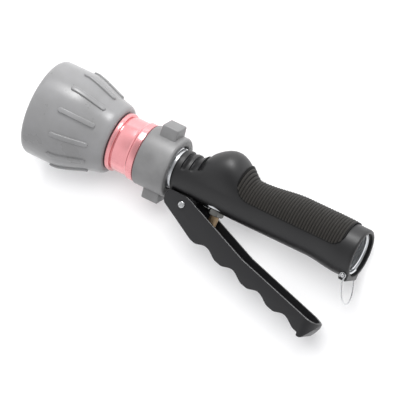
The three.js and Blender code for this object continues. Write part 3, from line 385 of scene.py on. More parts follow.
shoulder = spread(BAND_REAR, SHOULDER_REAR, 16)
neck = SLEEVE_BORE + 0.5
bumper = turned(
    "bumper_moulding",
    [
        *arc(BUMPER_FRONT + 4.6, BUMPER_RADIUS - 4.6, 4.6, 180, 90, 10),
        *[(x, bumper_outside(x)) for x in shoulder],
        *arc(BUMPER_REAR - 3.8, BUMPER_REAR_RADIUS - 4.2, 3.9, 75, 5, 7),
        (BUMPER_REAR, BUMPER_REAR_RADIUS - 5.0), (BUMPER_REAR - 0.6, neck), (BUMPER_REAR - 2.2, neck),
        (BUMPER_REAR - 2.2, bumper_outside(SHOULDER_REAR) - BUMPER_WALL),
        *[(x, bumper_outside(x) - BUMPER_WALL) for x in reversed(shoulder)],
        (SLEEVE_FRONT, BUMPER_RADIUS - BUMPER_WALL), (SLEEVE_FRONT, TEETH_RADIUS + 0.4),
        (BUMPER_FRONT + 0.8, TEETH_RADIUS + 1.9), (BUMPER_FRONT, TEETH_RADIUS + 2.7),
        (BUMPER_FRONT, BUMPER_RADIUS - 4.6),
    ],
    steps=160,
    edge=0.25,
)

RIB_COUNT = 12
RIB_FRONT = -95.5
RIB_REAR = -65.5
RIB_WIDTH = 3.9
RIB_PROUD = 1.5
FIRST_RIB = 17.3  # from the thumb bump's side, in degrees


def bumper_rib():
    """One long rib with round ends: a box with its corners rounded in plan, then laid along the shoulder."""
    bpy.ops.object.select_all(action="DESELECT")
    bpy.ops.mesh.primitive_cube_add(size=1)
    rib = bpy.context.object
    rib.dimensions = ((RIB_REAR - RIB_FRONT) * MM, 3.6 * MM, RIB_WIDTH * MM)
    bpy.ops.object.transform_apply(location=False, rotation=False, scale=True)
    bpy.ops.object.mode_set(mode="EDIT")
    mesh = bmesh.from_edit_mesh(rib.data)
    for edge in mesh.edges:
        a, b = (vertex.co for vertex in edge.verts)
        edge.select = abs(a.x - b.x) < 1e-6 and abs(a.z - b.z) < 1e-6
    bmesh.update_edit_mesh(rib.data)
    bpy.ops.mesh.bevel(offset=RIB_WIDTH * 0.49 * MM, segments=8, affect="EDGES")
    for x in spread(RIB_FRONT + 2.6, RIB_REAR - 2.6, 12):
        bpy.ops.mesh.select_all(action="SELECT")
        middle = (RIB_FRONT + RIB_REAR) / 2
        bpy.ops.mesh.bisect(plane_co=((x - middle) * MM, 0, 0), plane_no=(1, 0, 0))
    close_up()
    round_edges(rib, 0.7, 3, 40)
    for vertex in rib.data.vertices:
        x = (RIB_FRONT + RIB_REAR) / 2 + vertex.co.x / MM
        vertex.co.y += (bumper_outside(x) + RIB_PROUD - 1.8) * MM
        vertex.co.x = x * MM
    return rib


def copies_round(piece, count, first=0.0):
    """Copies of a piece spaced evenly round X, each with its own mesh; the piece itself is the first."""
    made = [piece]
    for i in range(1, count):
        select_only(piece)
        bpy.ops.object.duplicate()
        made.append(bpy.context.object)
    for i, copy in enumerate(made):
        select_only(copy)
        copy.rotation_euler = (math.radians(first + 360 * i / count), 0, 0)
        bpy.ops.object.transform_apply(location=False, rotation=True, scale=False)
    return made


weld(bumper, *copies_round(bumper_rib(), RIB_COUNT, FIRST_RIB))
set_down(bumper)

# Moulded rubber: mid grey, an even satin with a fine 0.4 mm grain, and a little paler where hands rub it.
rubber, tree, shader, coords = new_material("moulded_bumper_rubber", "#7e7e7e", 0.3)
cloud = add_node(
    tree, "ShaderNodeTexNoise", {"Vector": coords.outputs["Object"], "Scale": 45.0, "Detail": 4.0}
)
grey = add_node(tree, "ShaderNodeValToRGB", {"Fac": cloud.outputs["Fac"]})
grey.color_ramp.elements[0].position = 0.3
grey.color_ramp.elements[0].color = linear("#757575")
grey.color_ramp.elements[1].position = 0.72
grey.color_ramp.elements[1].color = linear("#808081")
satin = add_node(tree, "ShaderNodeMapRange", {"Value": cloud.outputs["Fac"], "To Min": 0.24, "To Max": 0.32})
grain = add_node(
    tree, "ShaderNodeTexNoise", {"Vector": coords.outputs["Object"], "Scale": 2500.0, "Detail": 2.0}
)
grain_bump = add_node(
    tree, "ShaderNodeBump", {"Height": grain.outputs["Fac"], "Distance": 0.00003, "Strength": 0.12}
)
tree.links.new(grey.outputs["Color"], shader.inputs["Base Color"])
tree.links.new(satin.outputs["Result"], shader.inputs["Roughness"])
tree.links.new(grain_bump.outputs["Normal"], shader.inputs["Normal"])
fit(bumper, rubber, "bumper_rubber", "pattern_head", "rubber_bumper")

# ---- Spray head: sleeve, fog teeth and seal ------------------------------------------------------
# Grey hard-anodised sleeve under the bumper, threaded on the barrel; its mouth opens in a cone and holds a
# pressed-in ring of teeth that break the jet into fog. An O-ring in its bore seals it on the barrel.

CONE_START = BARREL_FRONT - 0.6
TEETH_LENGTH = 4.0
TEETH_REAR = SLEEVE_FRONT + TEETH_LENGTH
GROOVE_FRONT = -89.3
GROOVE_REAR = -86.7
GROOVE_RADIUS = SLEEVE_BORE + 1.8
sleeve_skin = [(x, bumper_outside(x) - BUMPER_WALL - 0.3) for x in shoulder]
sleeve = turned(
    "sleeve_turning",
    [
        (SLEEVE_FRONT + 0.3, TEETH_RADIUS + 0.7), (SLEEVE_FRONT + 0.3, sleeve_skin[0][1]), *sleeve_skin,
        (BUMPER_REAR - 2.5, sleeve_skin[-1][1]), (BUMPER_REAR - 2.5, SLEEVE_BORE), (GROOVE_REAR, SLEEVE_BORE),
        (GROOVE_REAR, GROOVE_RADIUS), (GROOVE_FRONT, GROOVE_RADIUS), (GROOVE_FRONT, SLEEVE_BORE),
        (CONE_START, SLEEVE_BORE), (TEETH_REAR + 3, TEETH_RADIUS - 4.6), (TEETH_REAR + 0.3, TEETH_RADIUS - 4),
        (TEETH_REAR + 0.3, TEETH_RADIUS + 0.7), (SLEEVE_FRONT + 0.3, TEETH_RADIUS + 0.7),
    ],
    steps=128,
)
set_down(sleeve)

TOOTH_COUNT = 24
TOOTH_ROOT = TEETH_RADIUS - 2.4
TOOTH_TIP = TEETH_RADIUS - 6.0
tooth_ring = turned("fog_teeth", pipe(SLEEVE_FRONT + 0.3, TEETH_REAR, TOOTH_ROOT, TEETH_RADIUS + 0.4), 128, 0.3)


def fog_tooth():
    """One tooth, narrower towards its tip."""
    width = math.pi * TOOTH_ROOT / TOOTH_COUNT
    bpy.ops.object.select_all(action="DESELECT")
    bpy.ops.mesh.primitive_cube_add(size=1, location=(0, (TOOTH_ROOT + TOOTH_TIP + 1) / 2 * MM, 0))
    tooth = bpy.context.object
    tooth.location.x = (SLEEVE_FRONT + TEETH_LENGTH / 2) * MM
    tooth.dimensions = ((TEETH_LENGTH - 1) * MM, (TOOTH_ROOT + 1 - TOOTH_TIP) * MM, width * MM)
    bpy.ops.object.transform_apply(location=True, rotation=True, scale=True)
    for vertex in tooth.data.vertices:
        if vertex.co.y < (TOOTH_TIP + 1) * MM:
            vertex.co.z *= 0.62
    round_edges(tooth, 0.3, 3)
    return tooth


weld(tooth_ring, *copies_round(fog_tooth(), TOOTH_COUNT))
set_down(tooth_ring)

hard_coat, tree, shader, coords = new_material("grey_hard_anodised", "#767676", 0.36, 0.15)
blotch = add_node(
    tree, "ShaderNodeTexNoise", {"Vector": coords.outputs["Object"], "Scale": 70.0, "Detail": 5.0}
)
coat_grey = add_node(tree, "ShaderNodeValToRGB", {"Fac": blotch.outputs["Fac"]})
coat_grey.color_ramp.elements[0].position = 0.32
coat_grey.color_ramp.elements[0].color = linear("#6c6c6c")
coat_grey.color_ramp.elements[1].position = 0.7
coat_grey.color_ramp.elements[1].color = linear("#797979")
frost = add_node(
    tree, "ShaderNodeTexNoise", {"Vector": coords.outputs["Object"], "Scale": 3300.0, "Detail": 2.0}
)
frost_bump = add_node(
    tree, "ShaderNodeBump", {"Height": frost.outputs["Fac"], "Distance": 0.00002, "Strength": 0.3}
)
coat_gloss = add_node(
    tree, "ShaderNodeMapRange", {"Value": blotch.outputs["Fac"], "To Min": 0.36, "To Max": 0.5}
)
tree.links.new(coat_grey.outputs["Color"], shader.inputs["Base Color"])
tree.links.new(coat_gloss.outputs["Result"], shader.inputs["Roughness"])
tree.links.new(frost_bump.outputs["Normal"], shader.inputs["Normal"])
fit(sleeve, hard_coat, "coupling_grey", "pattern_head", "pattern_sleeve")
fit(tooth_ring, hard_coat, "coupling_grey", "pattern_head", "fog_teeth_ring")


def o_ring(name, middle, radius, section, steps=96):
    """A round rubber ring about X."""
    return turned(name, arc(middle, radius, section, 0, 360, 14), steps, 0)


# Nitrile: near black, slightly dull, with a faint bloom.
nitrile, tree, shader, coords = new_material("nitrile_rubber", "#1c1c1c", 0.6)
bloom = add_node(
    tree, "ShaderNodeTexNoise", {"Vector": coords.outputs["Object"], "Scale": 400.0, "Detail": 3.0}
)
nitrile_black = add_node(tree, "ShaderNodeValToRGB", {"Fac": bloom.outputs["Fac"]})
nitrile_black.color_ramp.elements[0].color = linear("#151515")
nitrile_black.color_ramp.elements[1].color = linear("#242423")
tree.links.new(nitrile_black.outputs["Color"], shader.inputs["Base Color"])

sleeve_seal = o_ring("sleeve_seal", -88.0, SLEEVE_THREAD_RADIUS + 1.12, 0.95)
set_down(sleeve_seal)
fit(sleeve_seal, nitrile, "seal_rubber", "sleeve_carriage", "sleeve_o_ring")

# ---- Baffle and its stem -------------------------------------------------------------------------
# The jet breaks on a round baffle. It sits on a steel stem that a three-armed brass spider holds on the
# barrel's axis, with a hexagonal nut behind the spider.


def cut(piece, tool):
    """Takes a tool's shape out of a piece and throws the tool away."""
    select_only(piece)
    boolean = piece.modifiers.new("cut", "BOOLEAN")
    boolean.operation = "DIFFERENCE"
    boolean.solver = "EXACT"
    boolean.object = tool
    bpy.ops.object.modifier_apply(modifier=boolean.name)
    bpy.data.objects.remove(tool)


BAFFLE_FRONT = -112.5
BAFFLE_RADIUS = 16.4
STEM_RADIUS = 2.6
SPIDER_FRONT = -70.0
SPIDER_REAR = -62.0
baffle = turned(
    "baffle_turning",
    [
        (BAFFLE_FRONT + 0.5, 0), (BAFFLE_FRONT + 0.5, BAFFLE_RADIUS - 4), (BAFFLE_FRONT, BAFFLE_RADIUS - 3.4),
        (BAFFLE_FRONT, BAFFLE_RADIUS - 1), (BAFFLE_FRONT + 1, BAFFLE_RADIUS), (BAFFLE_FRONT + 2.6, BAFFLE_RADIUS),
        *arc(BAFFLE_FRONT + 8.6, BAFFLE_RADIUS, 6.4, 190, 262, 8), (BAFFLE_FRONT + 8, 5), (BAFFLE_FRONT + 8, 0),
    ],
    steps=96,
)
cut(baffle, turned("stem_hole", rod(BAFFLE_FRONT + 2.4, BAFFLE_FRONT + 9, STEM_RADIUS + 0.3), 32, 0))
cut(baffle, turned("key_hole", rod(BAFFLE_FRONT - 1, BAFFLE_FRONT + 1.9, 4), 6, 0))
set_down(baffle)
fit(baffle, hard_coat, "coupling_grey", "handle", "baffle")

spider = turned("spider_hub", pipe(SPIDER_FRONT, SPIDER_REAR, STEM_RADIUS + 0.3, STEM_RADIUS + 2.2), 48)
spider_rim = turned("spider_rim", pipe(SPIDER_FRONT, SPIDER_REAR, BARREL_BORE - 1.6, BARREL_BORE - 0.3), 96)
bpy.ops.object.select_all(action="DESELECT")
bpy.ops.mesh.primitive_cube_add(size=1, location=((SPIDER_FRONT + SPIDER_REAR) / 2 * MM, 8.2 * MM, 0))
spider_arm = bpy.context.object
spider_arm.dimensions = ((SPIDER_REAR - SPIDER_FRONT) * MM, 9.2 * MM, 2.2 * MM)
bpy.ops.object.transform_apply(location=True, rotation=True, scale=True)
round_edges(spider_arm, 0.7, 3)
weld(spider, spider_rim, *copies_round(spider_arm, 3))
set_down(spider)

# Machined brass: warm yellow metal, dulled in patches by handling.
brass, tree, shader, coords = new_material("machined_brass", "#b58f58", 0.3, 1.0)
tarnish = add_node(
    tree, "ShaderNodeTexNoise", {"Vector": coords.outputs["Object"], "Scale": 220.0, "Detail": 4.0}
)
brass_colour = add_node(tree, "ShaderNodeValToRGB", {"Fac": tarnish.outputs["Fac"]})
brass_colour.color_ramp.elements[0].position = 0.35
brass_colour.color_ramp.elements[0].color = linear("#94703f")
brass_colour.color_ramp.elements[1].position = 0.65
brass_colour.color_ramp.elements[1].color = linear("#c4a069")
brass_gloss = add_node(
    tree, "ShaderNodeMapRange", {"Value": tarnish.outputs["Fac"], "To Min": 0.22, "To Max": 0.45}
)
tree.links.new(brass_colour.outputs["Color"], shader.inputs["Base Color"])
tree.links.new(brass_gloss.outputs["Result"], shader.inputs["Roughness"])
fit(spider, brass, "brass", "handle", "stem_spider")

baffle_stem = turned("baffle_stem_bar", rod(BAFFLE_FRONT + 2.8, SPIDER_REAR + 5, STEM_RADIUS), 48, 0.3)
set_down(baffle_stem)
hex_nut = turned("spider_nut", rod(SPIDER_REAR + 0.3, SPIDER_REAR + 3.5, 4.6), 6, 0.3)
cut(hex_nut, turned("nut_bore", rod(SPIDER_REAR - 1, SPIDER_REAR + 5, STEM_RADIUS + 0.3), 32, 0))
set_down(hex_nut)

# Stainless steel: bright and cool, with fine wear scratches.
steel, tree, shader, coords = new_material("stainless_steel", "#c9cacb", 0.22, 1.0)
scratch = add_node(
    tree, "ShaderNodeTexNoise", {"Vector": coords.outputs["Object"], "Scale": 900.0, "Detail": 5.0}
)
steel_gloss = add_node(
    tree, "ShaderNodeMapRange", {"Value": scratch.outputs["Fac"], "To Min": 0.14, "To Max": 0.36}
)
steel_bump = add_node(
    tree, "ShaderNodeBump", {"Height": scratch.outputs["Fac"], "Distance": 0.00001, "Strength": 0.3}
)
tree.links.new(steel_gloss.outputs["Result"], shader.inputs["Roughness"])
tree.links.new(steel_bump.outputs["Normal"], shader.inputs["Normal"])
fit(baffle_stem, steel, "stainless", "handle", "baffle_stem")
fit(hex_nut, steel, "stainless", "handle", "stem_nut")

# ---- Swivel coupling -----------------------------------------------------------------------------
# Cast grey ring that screws on the handle and turns behind the barrel's flange, with two blocky lugs for a
# coupling wrench. A white slip washer and a rubber gasket sit inside it.

COUPLING_REAR = -2.0
COUPLING_RADIUS = 24.0
COUPLING_LIP = 14.9
HANDLE_THREAD_RADIUS = 16.4
THREAD_CLEAR = HANDLE_THREAD_RADIUS + 0.4
WASHER_THICKNESS = 0.8
LIP_REAR = FLANGE_FRONT - 0.6 - WASHER_THICKNESS
coupling = turned(
    "coupling_casting",
    [
        (COUPLING_REAR, COUPLING_RADIUS - 5.8), (COUPLING_REAR, COUPLING_RADIUS - 2.4),
        *arc(COUPLING_REAR - 2.2, COUPLING_RADIUS - 2.2, 2.2, 20, 90, 6),
        *arc(COUPLING_FRONT + 0.9, COUPLING_RADIUS - 0.9, 0.9, 90, 180, 4), (COUPLING_FRONT, COUPLING_LIP),
        (LIP_REAR, COUPLING_LIP), (LIP_REAR, THREAD_CLEAR), (-6.4, THREAD_CLEAR), (-5.4, THREAD_CLEAR + 0.8),
        (-3.2, THREAD_CLEAR + 0.8), (COUPLING_REAR, COUPLING_RADIUS - 5.8),
    ],
    steps=144,
    edge=0.2,
)

LUG_REAR = -7.0
LUG_LENGTH = 14.0
LUG_WIDTH = 15.0
LUG_CROWN = COUPLING_RADIUS + 7.4
LUG_FOOT = COUPLING_RADIUS - 5.0
FIRST_LUG = 15.0  # from the thumb bump's side, in degrees


def coupling_lug():
    """One lug: a block that narrows a little outwards, with its edges well rounded by casting."""
    bpy.ops.object.select_all(action="DESELECT")
    bpy.ops.mesh.primitive_cube_add(size=1, location=((LUG_REAR - LUG_LENGTH / 2) * MM, 0, 0))
    lug = bpy.context.object
    lug.location.y = (LUG_CROWN + LUG_FOOT) / 2 * MM
    lug.dimensions = (LUG_LENGTH * MM, (LUG_CROWN - LUG_FOOT) * MM, (LUG_WIDTH + 3) * MM)
    bpy.ops.object.transform_apply(location=True, rotation=True, scale=True)
    for vertex in lug.data.vertices:
        if vertex.co.y > COUPLING_RADIUS * MM:
            vertex.co.z *= LUG_WIDTH / (LUG_WIDTH + 3)
    round_edges(lug, 1.1, 4)
    return lug


weld(coupling, *copies_round(coupling_lug(), 2, FIRST_LUG))
set_down(coupling)
fit(coupling, hard_coat, "coupling_grey", "coupling", "swivel_coupling")

slip_washer = turned("slip_washer", pipe(LIP_REAR + 0.3, FLANGE_FRONT - 0.3, 15.2, THREAD_CLEAR - 0.3))
set_down(slip_washer)
acetal, tree, shader, coords = new_material("white_acetal", "#d8d8d2", 0.45)
milky = add_node(tree, "ShaderNodeTexNoise", {"Vector": coords.outputs["Object"], "Scale": 300.0})
acetal_gloss = add_node(
    tree, "ShaderNodeMapRange", {"Value": milky.outputs["Fac"], "To Min": 0.4, "To Max": 0.52}
)
tree.links.new(acetal_gloss.outputs["Result"], shader.inputs["Roughness"])
fit(slip_washer, acetal, "white_acetal", "handle", "coupling_washer")

flange_gasket = turned(
    "flange_gasket", pipe(FLANGE_FRONT + 2.5, -18.8, WATERWAY_BORE + 0.6, THREAD_CLEAR - 0.3), 96, 0.3
)
set_down(flange_gasket)
fit(flange_gasket, nitrile, "seal_rubber", "handle", "coupling_gasket")

# ---- Waterway casting ----------------------------------------------------------------------------
# One aluminium casting inside the grip: a male hose thread in front, a valve chamber across the middle that
# rises into the thumb bump, and a tube to the inlet. Its bore is machined.


def fuse(piece, other):
    """Makes one solid of two that overlap, and throws the second away."""
    select_only(piece)
    boolean = piece.modifiers.new("fuse", "BOOLEAN")
    boolean.operation = "UNION"
    boolean.solver = "EXACT"
    boolean.object = other
    bpy.ops.object.modifier_apply(modifier=boolean.name)
    bpy.data.objects.remove(other)


def upright(name, outline, steps=48, edge=0.15, x=None):
    """A piece turned about a line along Y, at x: its outline is (y, radius)."""
    piece = turned(name, outline, steps, edge)
    select_only(piece)
    piece.rotation_euler.z = math.pi / 2
    piece.location.x = (VALVE_X if x is None else x) * MM
    bpy.ops.object.transform_apply(location=True, rotation=True, scale=True)
    return piece


def slanted(name, start, end, radius):
    """A round bar between two points in the X-Y plane."""
    length = math.dist(start, end)
    bar = turned(name, rod(0, length, radius), 48, 0)
    select_only(bar)
    bar.rotation_euler.z = math.atan2(end[1] - start[1], end[0] - start[0])
    bar.location = (start[0] * MM, start[1] * MM, 0)
    bpy.ops.object.transform_apply(location=True, rotation=True, scale=True)
    return bar


VALVE_X = 40.0
TUBE_RADIUS = 13.4
THREAD_FRONT = -18.5
SOCKET_REAR = 155.8
SOCKET_FLOOR = SOCKET_REAR - 15
TUBE_REAR = SOCKET_FLOOR - 2
CHAMBER_RADIUS = 10.6
CHAMBER_BORE = 8.6
CHAMBER_TOP = 24.4
CHAMBER_FLOOR = -14.6
PACKING_FLOOR = CHAMBER_FLOOR + 4
LOWER_CHAMBER_FLOOR = PACKING_FLOOR + 1.6
SEAT_Y = 1.5
ROD_RADIUS = 3.7
PACKING_RADIUS = ROD_RADIUS + 1.7
REAR_PASSAGE = ((68.0, 0.0), (VALVE_X, 13.5))
FRONT_PASSAGE = ((18.0, -2.4), (VALVE_X, -3.2))
THREAD_PITCH = 2.2
THREAD_ROOT = HANDLE_THREAD_RADIUS - 0.9

casting = turned("casting_body", rod(0.3, TUBE_REAR, TUBE_RADIUS), 96, 0)
fuse(casting, upright("chamber", rod(CHAMBER_FLOOR, CHAMBER_TOP, CHAMBER_RADIUS), 64, 0.4))
fuse(casting, slanted("saddle", *REAR_PASSAGE, 8.6))
fuse(casting, turned("thread_core", rod(THREAD_FRONT, 0.2, THREAD_ROOT), 96, 0.6))
cut(casting, turned("front_bore", rod(THREAD_FRONT - 1, 20, WATERWAY_BORE), 96, 0))
cut(casting, turned("rear_bore", rod(64, TUBE_REAR + 1, WATERWAY_BORE), 96, 0))
cut(casting, slanted("front_passage", *FRONT_PASSAGE, 5.6))
cut(casting, slanted("rear_passage", *REAR_PASSAGE, 6.2))
cut(casting, upright("chamber_bore", rod(SEAT_Y, CHAMBER_TOP + 1, CHAMBER_BORE), 64, 0))
cut(casting, upright("lower_bore", rod(LOWER_CHAMBER_FLOOR, SEAT_Y + 1, 7.4), 64, 0))
cut(casting, upright("rod_bore", rod(CHAMBER_FLOOR - 1, 0, ROD_RADIUS + 0.3), 48, 0))
cut(casting, upright("packing_bore", rod(CHAMBER_FLOOR - 1, PACKING_FLOOR, PACKING_RADIUS), 48, 0))
weld(casting, thread_ridge("hose_thread", THREAD_FRONT + 0.6, 7, THREAD_ROOT, HANDLE_THREAD_RADIUS, THREAD_PITCH))
set_down(casting)

# Machined aluminium: bright silver, with tool rings 0.3 mm apart that run round the bore.
aluminium, tree, shader, coords = new_material("machined_aluminium", "#cdcfd1", 0.3, 1.0)
rings = add_node(
    tree, "ShaderNodeMapping", {"Vector": coords.outputs["Object"], "Scale": (3300.0, 25.0, 25.0)}
)
ring_marks = add_node(
    tree, "ShaderNodeTexNoise", {"Vector": rings.outputs["Vector"], "Scale": 1.0, "Detail": 3.0}
)
alu_gloss = add_node(
    tree, "ShaderNodeMapRange", {"Value": ring_marks.outputs["Fac"], "To Min": 0.2, "To Max": 0.42}
)
alu_bump = add_node(
    tree, "ShaderNodeBump", {"Height": ring_marks.outputs["Fac"], "Distance": 0.00002, "Strength": 0.4}
)
tree.links.new(alu_gloss.outputs["Result"], shader.inputs["Roughness"])
tree.links.new(alu_bump.outputs["Normal"], shader.inputs["Normal"])
fit(casting, aluminium, "bare_aluminium", "handle", "waterway_casting")

# ---- Inlet ---------------------------------------------------------------------------------------
# Bright threaded socket recessed in the grip's flared end, with a flat rubber gasket at its floor.

SOCKET_RADIUS = 17.2
SOCKET_BORE = 15.4
socket_outline = [
    (SOCKET_FLOOR - 7, TUBE_RADIUS + 0.3), (SOCKET_FLOOR - 7, SOCKET_RADIUS), (SOCKET_REAR, SOCKET_RADIUS),
    (SOCKET_REAR, SOCKET_BORE + 1.2), (SOCKET_REAR - 1.3, SOCKET_BORE + 0.9), (SOCKET_FLOOR + 4, SOCKET_BORE + 0.9),
    (SOCKET_FLOOR + 3.6, SOCKET_BORE), (SOCKET_FLOOR, SOCKET_BORE), (SOCKET_FLOOR, WATERWAY_BORE + 0.5),
    (TUBE_REAR + 0.3, WATERWAY_BORE + 0.5), (TUBE_REAR + 0.3, TUBE_RADIUS + 0.3),
    (SOCKET_FLOOR - 7, TUBE_RADIUS + 0.3),
]
socket = turned("inlet_socket_turning", socket_outline, 144, 0.2)
female_thread = thread_ridge("female_thread", SOCKET_FLOOR + 4, 4.6, SOCKET_BORE + 0.9, SOCKET_BORE, THREAD_PITCH)
weld(socket, female_thread)
set_down(socket)
fit(socket, aluminium, "bare_aluminium", "handle", "inlet_socket")

gasket = turned(
    "hose_gasket", pipe(SOCKET_FLOOR + 0.3, SOCKET_FLOOR + 3, WATERWAY_BORE + 0.6, SOCKET_BORE - 0.3), 96, 0.5
)
set_down(gasket)
fit(gasket, nitrile, "seal_rubber", "handle", "inlet_gasket")

# ---- Grip shell ----------------------------------------------------------------------------------
# Black glass-filled nylon moulded round the casting: a thumb bump over the valve, three finger grooves on
# the neck, a flared end round the inlet, a boss for the lever and a foot for the wire bail.

HANDLE_LENGTH = 159.0
NECK_RADIUS = 16.7
GRIP_RADIUS = 17.5
PALM_SWELL = 3.6
END_RADIUS = 20.3
BUMP_HEIGHT = 14.3
BUMP_X = 38.5
BUMP_FRONT_LENGTH = 23.0
BUMP_REAR_LENGTH = 24.0
FLARE_START = 118.0
FLARE_END = 147.0
NECK_GROOVES = ((5.2, 80), (11.8, 74), (18.4, 66))  # x, and how far round each side it reaches in degrees
GROOVE_DEPTH = 1.5
GROOVE_WALL = 0.5
GROOVE_LENGTH = 4.8
END_ROUND = 1.6


def ease(start, end, x):
    """A smooth rise from 0 at start to 1 at end."""
    t = min(max((x - start) / (end - start), 0.0), 1.0)
    return t * t * (3 - 2 * t)


def grip_radius(x, angle):
    """Distance of the grip's surface from the axis, at x and at an angle in degrees from the bump."""
    towards_palm = math.cos(math.radians(angle))
    flare = (END_RADIUS - GRIP_RADIUS) * ease(FLARE_START, FLARE_END, x)
    girth = NECK_RADIUS + (GRIP_RADIUS - NECK_RADIUS) * ease(20, 60, x) + flare
    palm = PALM_SWELL * ease(66, 104, x) * (1 - 0.95 * ease(FLARE_START, FLARE_END + 5, x))
    in_front = x < BUMP_X
    along = (x - BUMP_X) / (BUMP_FRONT_LENGTH if in_front else BUMP_REAR_LENGTH)
    rise = max(0.0, 1 - along * along) ** (1.25 if in_front else 1.5)
    crown = max(0.0, towards_palm) ** 1.6
    return girth + palm * (0.5 + 0.5 * towards_palm) + BUMP_HEIGHT * rise * crown


def neck_groove(x, angle):
    """How deep the neck is notched at a point: a steep wall in front, a long ramp behind."""
    depth = 0.0
    for start, reach in NECK_GROOVES:
        ramp = 1 - ease(start + GROOVE_WALL, start + GROOVE_LENGTH, x)
        depth = max(depth, GROOVE_DEPTH * ease(start, start + GROOVE_WALL, x) * ramp * (1 - ease(reach - 7, reach, abs(angle))))
    return depth


WAITING_RADIUS = 30.0  # where the outer skin waits until it is drawn in to the grip's shape
skin_x = [
    0, 0.15, 0.45, 0.9, END_ROUND, 2.4, 3.4, *spread(4.2, 23.4, 76), *spread(24, 66, 30), *spread(68.5, 116, 19),
    *spread(118, 154, 16), 155.6, 157.4, 158.1, 158.55, 158.85, HANDLE_LENGTH,
]
shell = turned(
    "grip_moulding",
    [
        *[(x, WAITING_RADIUS) for x in skin_x], (HANDLE_LENGTH, SOCKET_RADIUS + 1.0),
        (HANDLE_LENGTH - 0.7, SOCKET_RADIUS + 0.3), (SOCKET_FLOOR - 7.3, SOCKET_RADIUS + 0.3),
        (SOCKET_FLOOR - 7.3, TUBE_RADIUS + 0.3), (0, TUBE_RADIUS + 0.3), (0, WAITING_RADIUS),
    ],
    steps=128,
    edge=0,
)
for vertex in shell.data.vertices:
    x = vertex.co.x / MM
    reach = math.hypot(vertex.co.y, vertex.co.z) / MM
    if reach > WAITING_RADIUS - 1:
        angle = math.degrees(math.atan2(vertex.co.z, vertex.co.y))
        into_end = max(0.0, END_ROUND - min(x, HANDLE_LENGTH - x))
        rounding = END_ROUND - math.sqrt(max(0.0, END_ROUND**2 - into_end**2))
        radius = grip_radius(x, angle) - neck_groove(x, angle) - rounding
        vertex.co.y *= radius / reach
        vertex.co.z *= radius / reach


def sideways(name, outline, x, y, steps=32, edge=0.15):
    """A piece turned about a line along Z, at x and y: its outline is (z, radius)."""
    piece = turned(name, outline, steps, edge)
    select_only(piece)
    piece.rotation_euler.y = -math.pi / 2
    piece.location = (x * MM, y * MM, 0)
    bpy.ops.object.transform_apply(location=True, rotation=True, scale=True)
    return piece


def box(name, low, high, edge=0.5, segments=3):
    """A block between two corners with rounded edges."""
    bpy.ops.object.select_all(action="DESELECT")
    middle = [(a + b) / 2 * MM for a, b in zip(low, high)]
    bpy.ops.mesh.primitive_cube_add(size=1, location=middle)
    block = bpy.context.object
    block.name = name
    block.dimensions = [(b - a) * MM for a, b in zip(low, high)]
    bpy.ops.object.transform_apply(location=True, rotation=True, scale=True)
    if edge:
        round_edges(block, edge, segments)
    return block


PIVOT_X = 16.0
PIVOT_Y = -21.8
PIVOT_RADIUS = 1.9
BUSH_RADIUS = PIVOT_RADIUS + 1.2
LEVER_HALF_WIDTH = 12.0
LEVER_WALL = 2.2
BOSS_HALF_WIDTH = LEVER_HALF_WIDTH - LEVER_WALL - 0.3
BOSS_RADIUS = 5.4
BAIL_X = HANDLE_LENGTH - 3.8
BAIL_Y = -17.5
FOOT_HALF_WIDTH = 12.4
FOOT_HALF_LENGTH = 3.6
FOOT_DROP = 21.6
EYELET_RADIUS = 2.1
WIRE_RADIUS = 0.6
RIVET_RADIUS = 1.05
SCREW_X = 30.5
NUT_ACROSS_FLATS = 11.4

fuse(shell, box("pivot_neck", (PIVOT_X - BOSS_RADIUS, PIVOT_Y, -BOSS_HALF_WIDTH), (PIVOT_X + BOSS_RADIUS, -14.4, BOSS_HALF_WIDTH), 0))
fuse(shell, sideways("pivot_boss", rod(-BOSS_HALF_WIDTH, BOSS_HALF_WIDTH, BOSS_RADIUS), PIVOT_X, PIVOT_Y, 48, 0.4))
foot_low = (BAIL_X - FOOT_HALF_LENGTH, -FOOT_DROP, -FOOT_HALF_WIDTH)
foot_high = (BAIL_X + FOOT_HALF_LENGTH, -14, FOOT_HALF_WIDTH)
fuse(shell, box("bail_foot", foot_low, foot_high, 1.6, 5))
cut(shell, turned("socket_bore", rod(SOCKET_FLOOR - 7.3, HANDLE_LENGTH + 1, SOCKET_RADIUS + 0.3), 128, 0))
cut(shell, upright("chamber_room", rod(CHAMBER_FLOOR - 0.3, CHAMBER_TOP + 0.3, CHAMBER_RADIUS + 0.3), 64, 0))
cut(shell, upright("nut_room", rod(-22, CHAMBER_FLOOR + 1, NUT_ACROSS_FLATS / 2 + 1.1), 64, 0))
cut(shell, sideways("bush_bore", rod(-13, 13, BUSH_RADIUS + 0.3), PIVOT_X, PIVOT_Y, 48, 0))
cut(shell, upright("screw_hole", rod(-18.5, -15.5, 1.5), 32, 0, SCREW_X))
for side in (-1, 1):
    spot_face = sorted((side * FOOT_HALF_WIDTH, side * 21))
    rivet_hole = sorted((side * (FOOT_HALF_WIDTH - 3), side * 21))
    cut(shell, sideways("spot_face", rod(*spot_face, EYELET_RADIUS + WIRE_RADIUS + 0.5), BAIL_X, BAIL_Y, 48, 0))
    cut(shell, sideways("rivet_hole", rod(*rivet_hole, RIVET_RADIUS + 0.3), BAIL_X, BAIL_Y, 32, 0))

# ---- Palm panel ----------------------------------------------------------------------------------
# Soft black rubber let into the grip where the palm lies: about forty thin ribs run round it, 2.4 mm apart,
# and die out before its smooth border.

PANEL_START = 52.0
PANEL_END = HANDLE_LENGTH - 12
PANEL_HALF_ANGLE = 86.0
PANEL_THICKNESS = 1.6
RIB_PITCH = 2.375
RIB_DEPTH = 0.95
CREST = 0.12
BORDER = 0.25


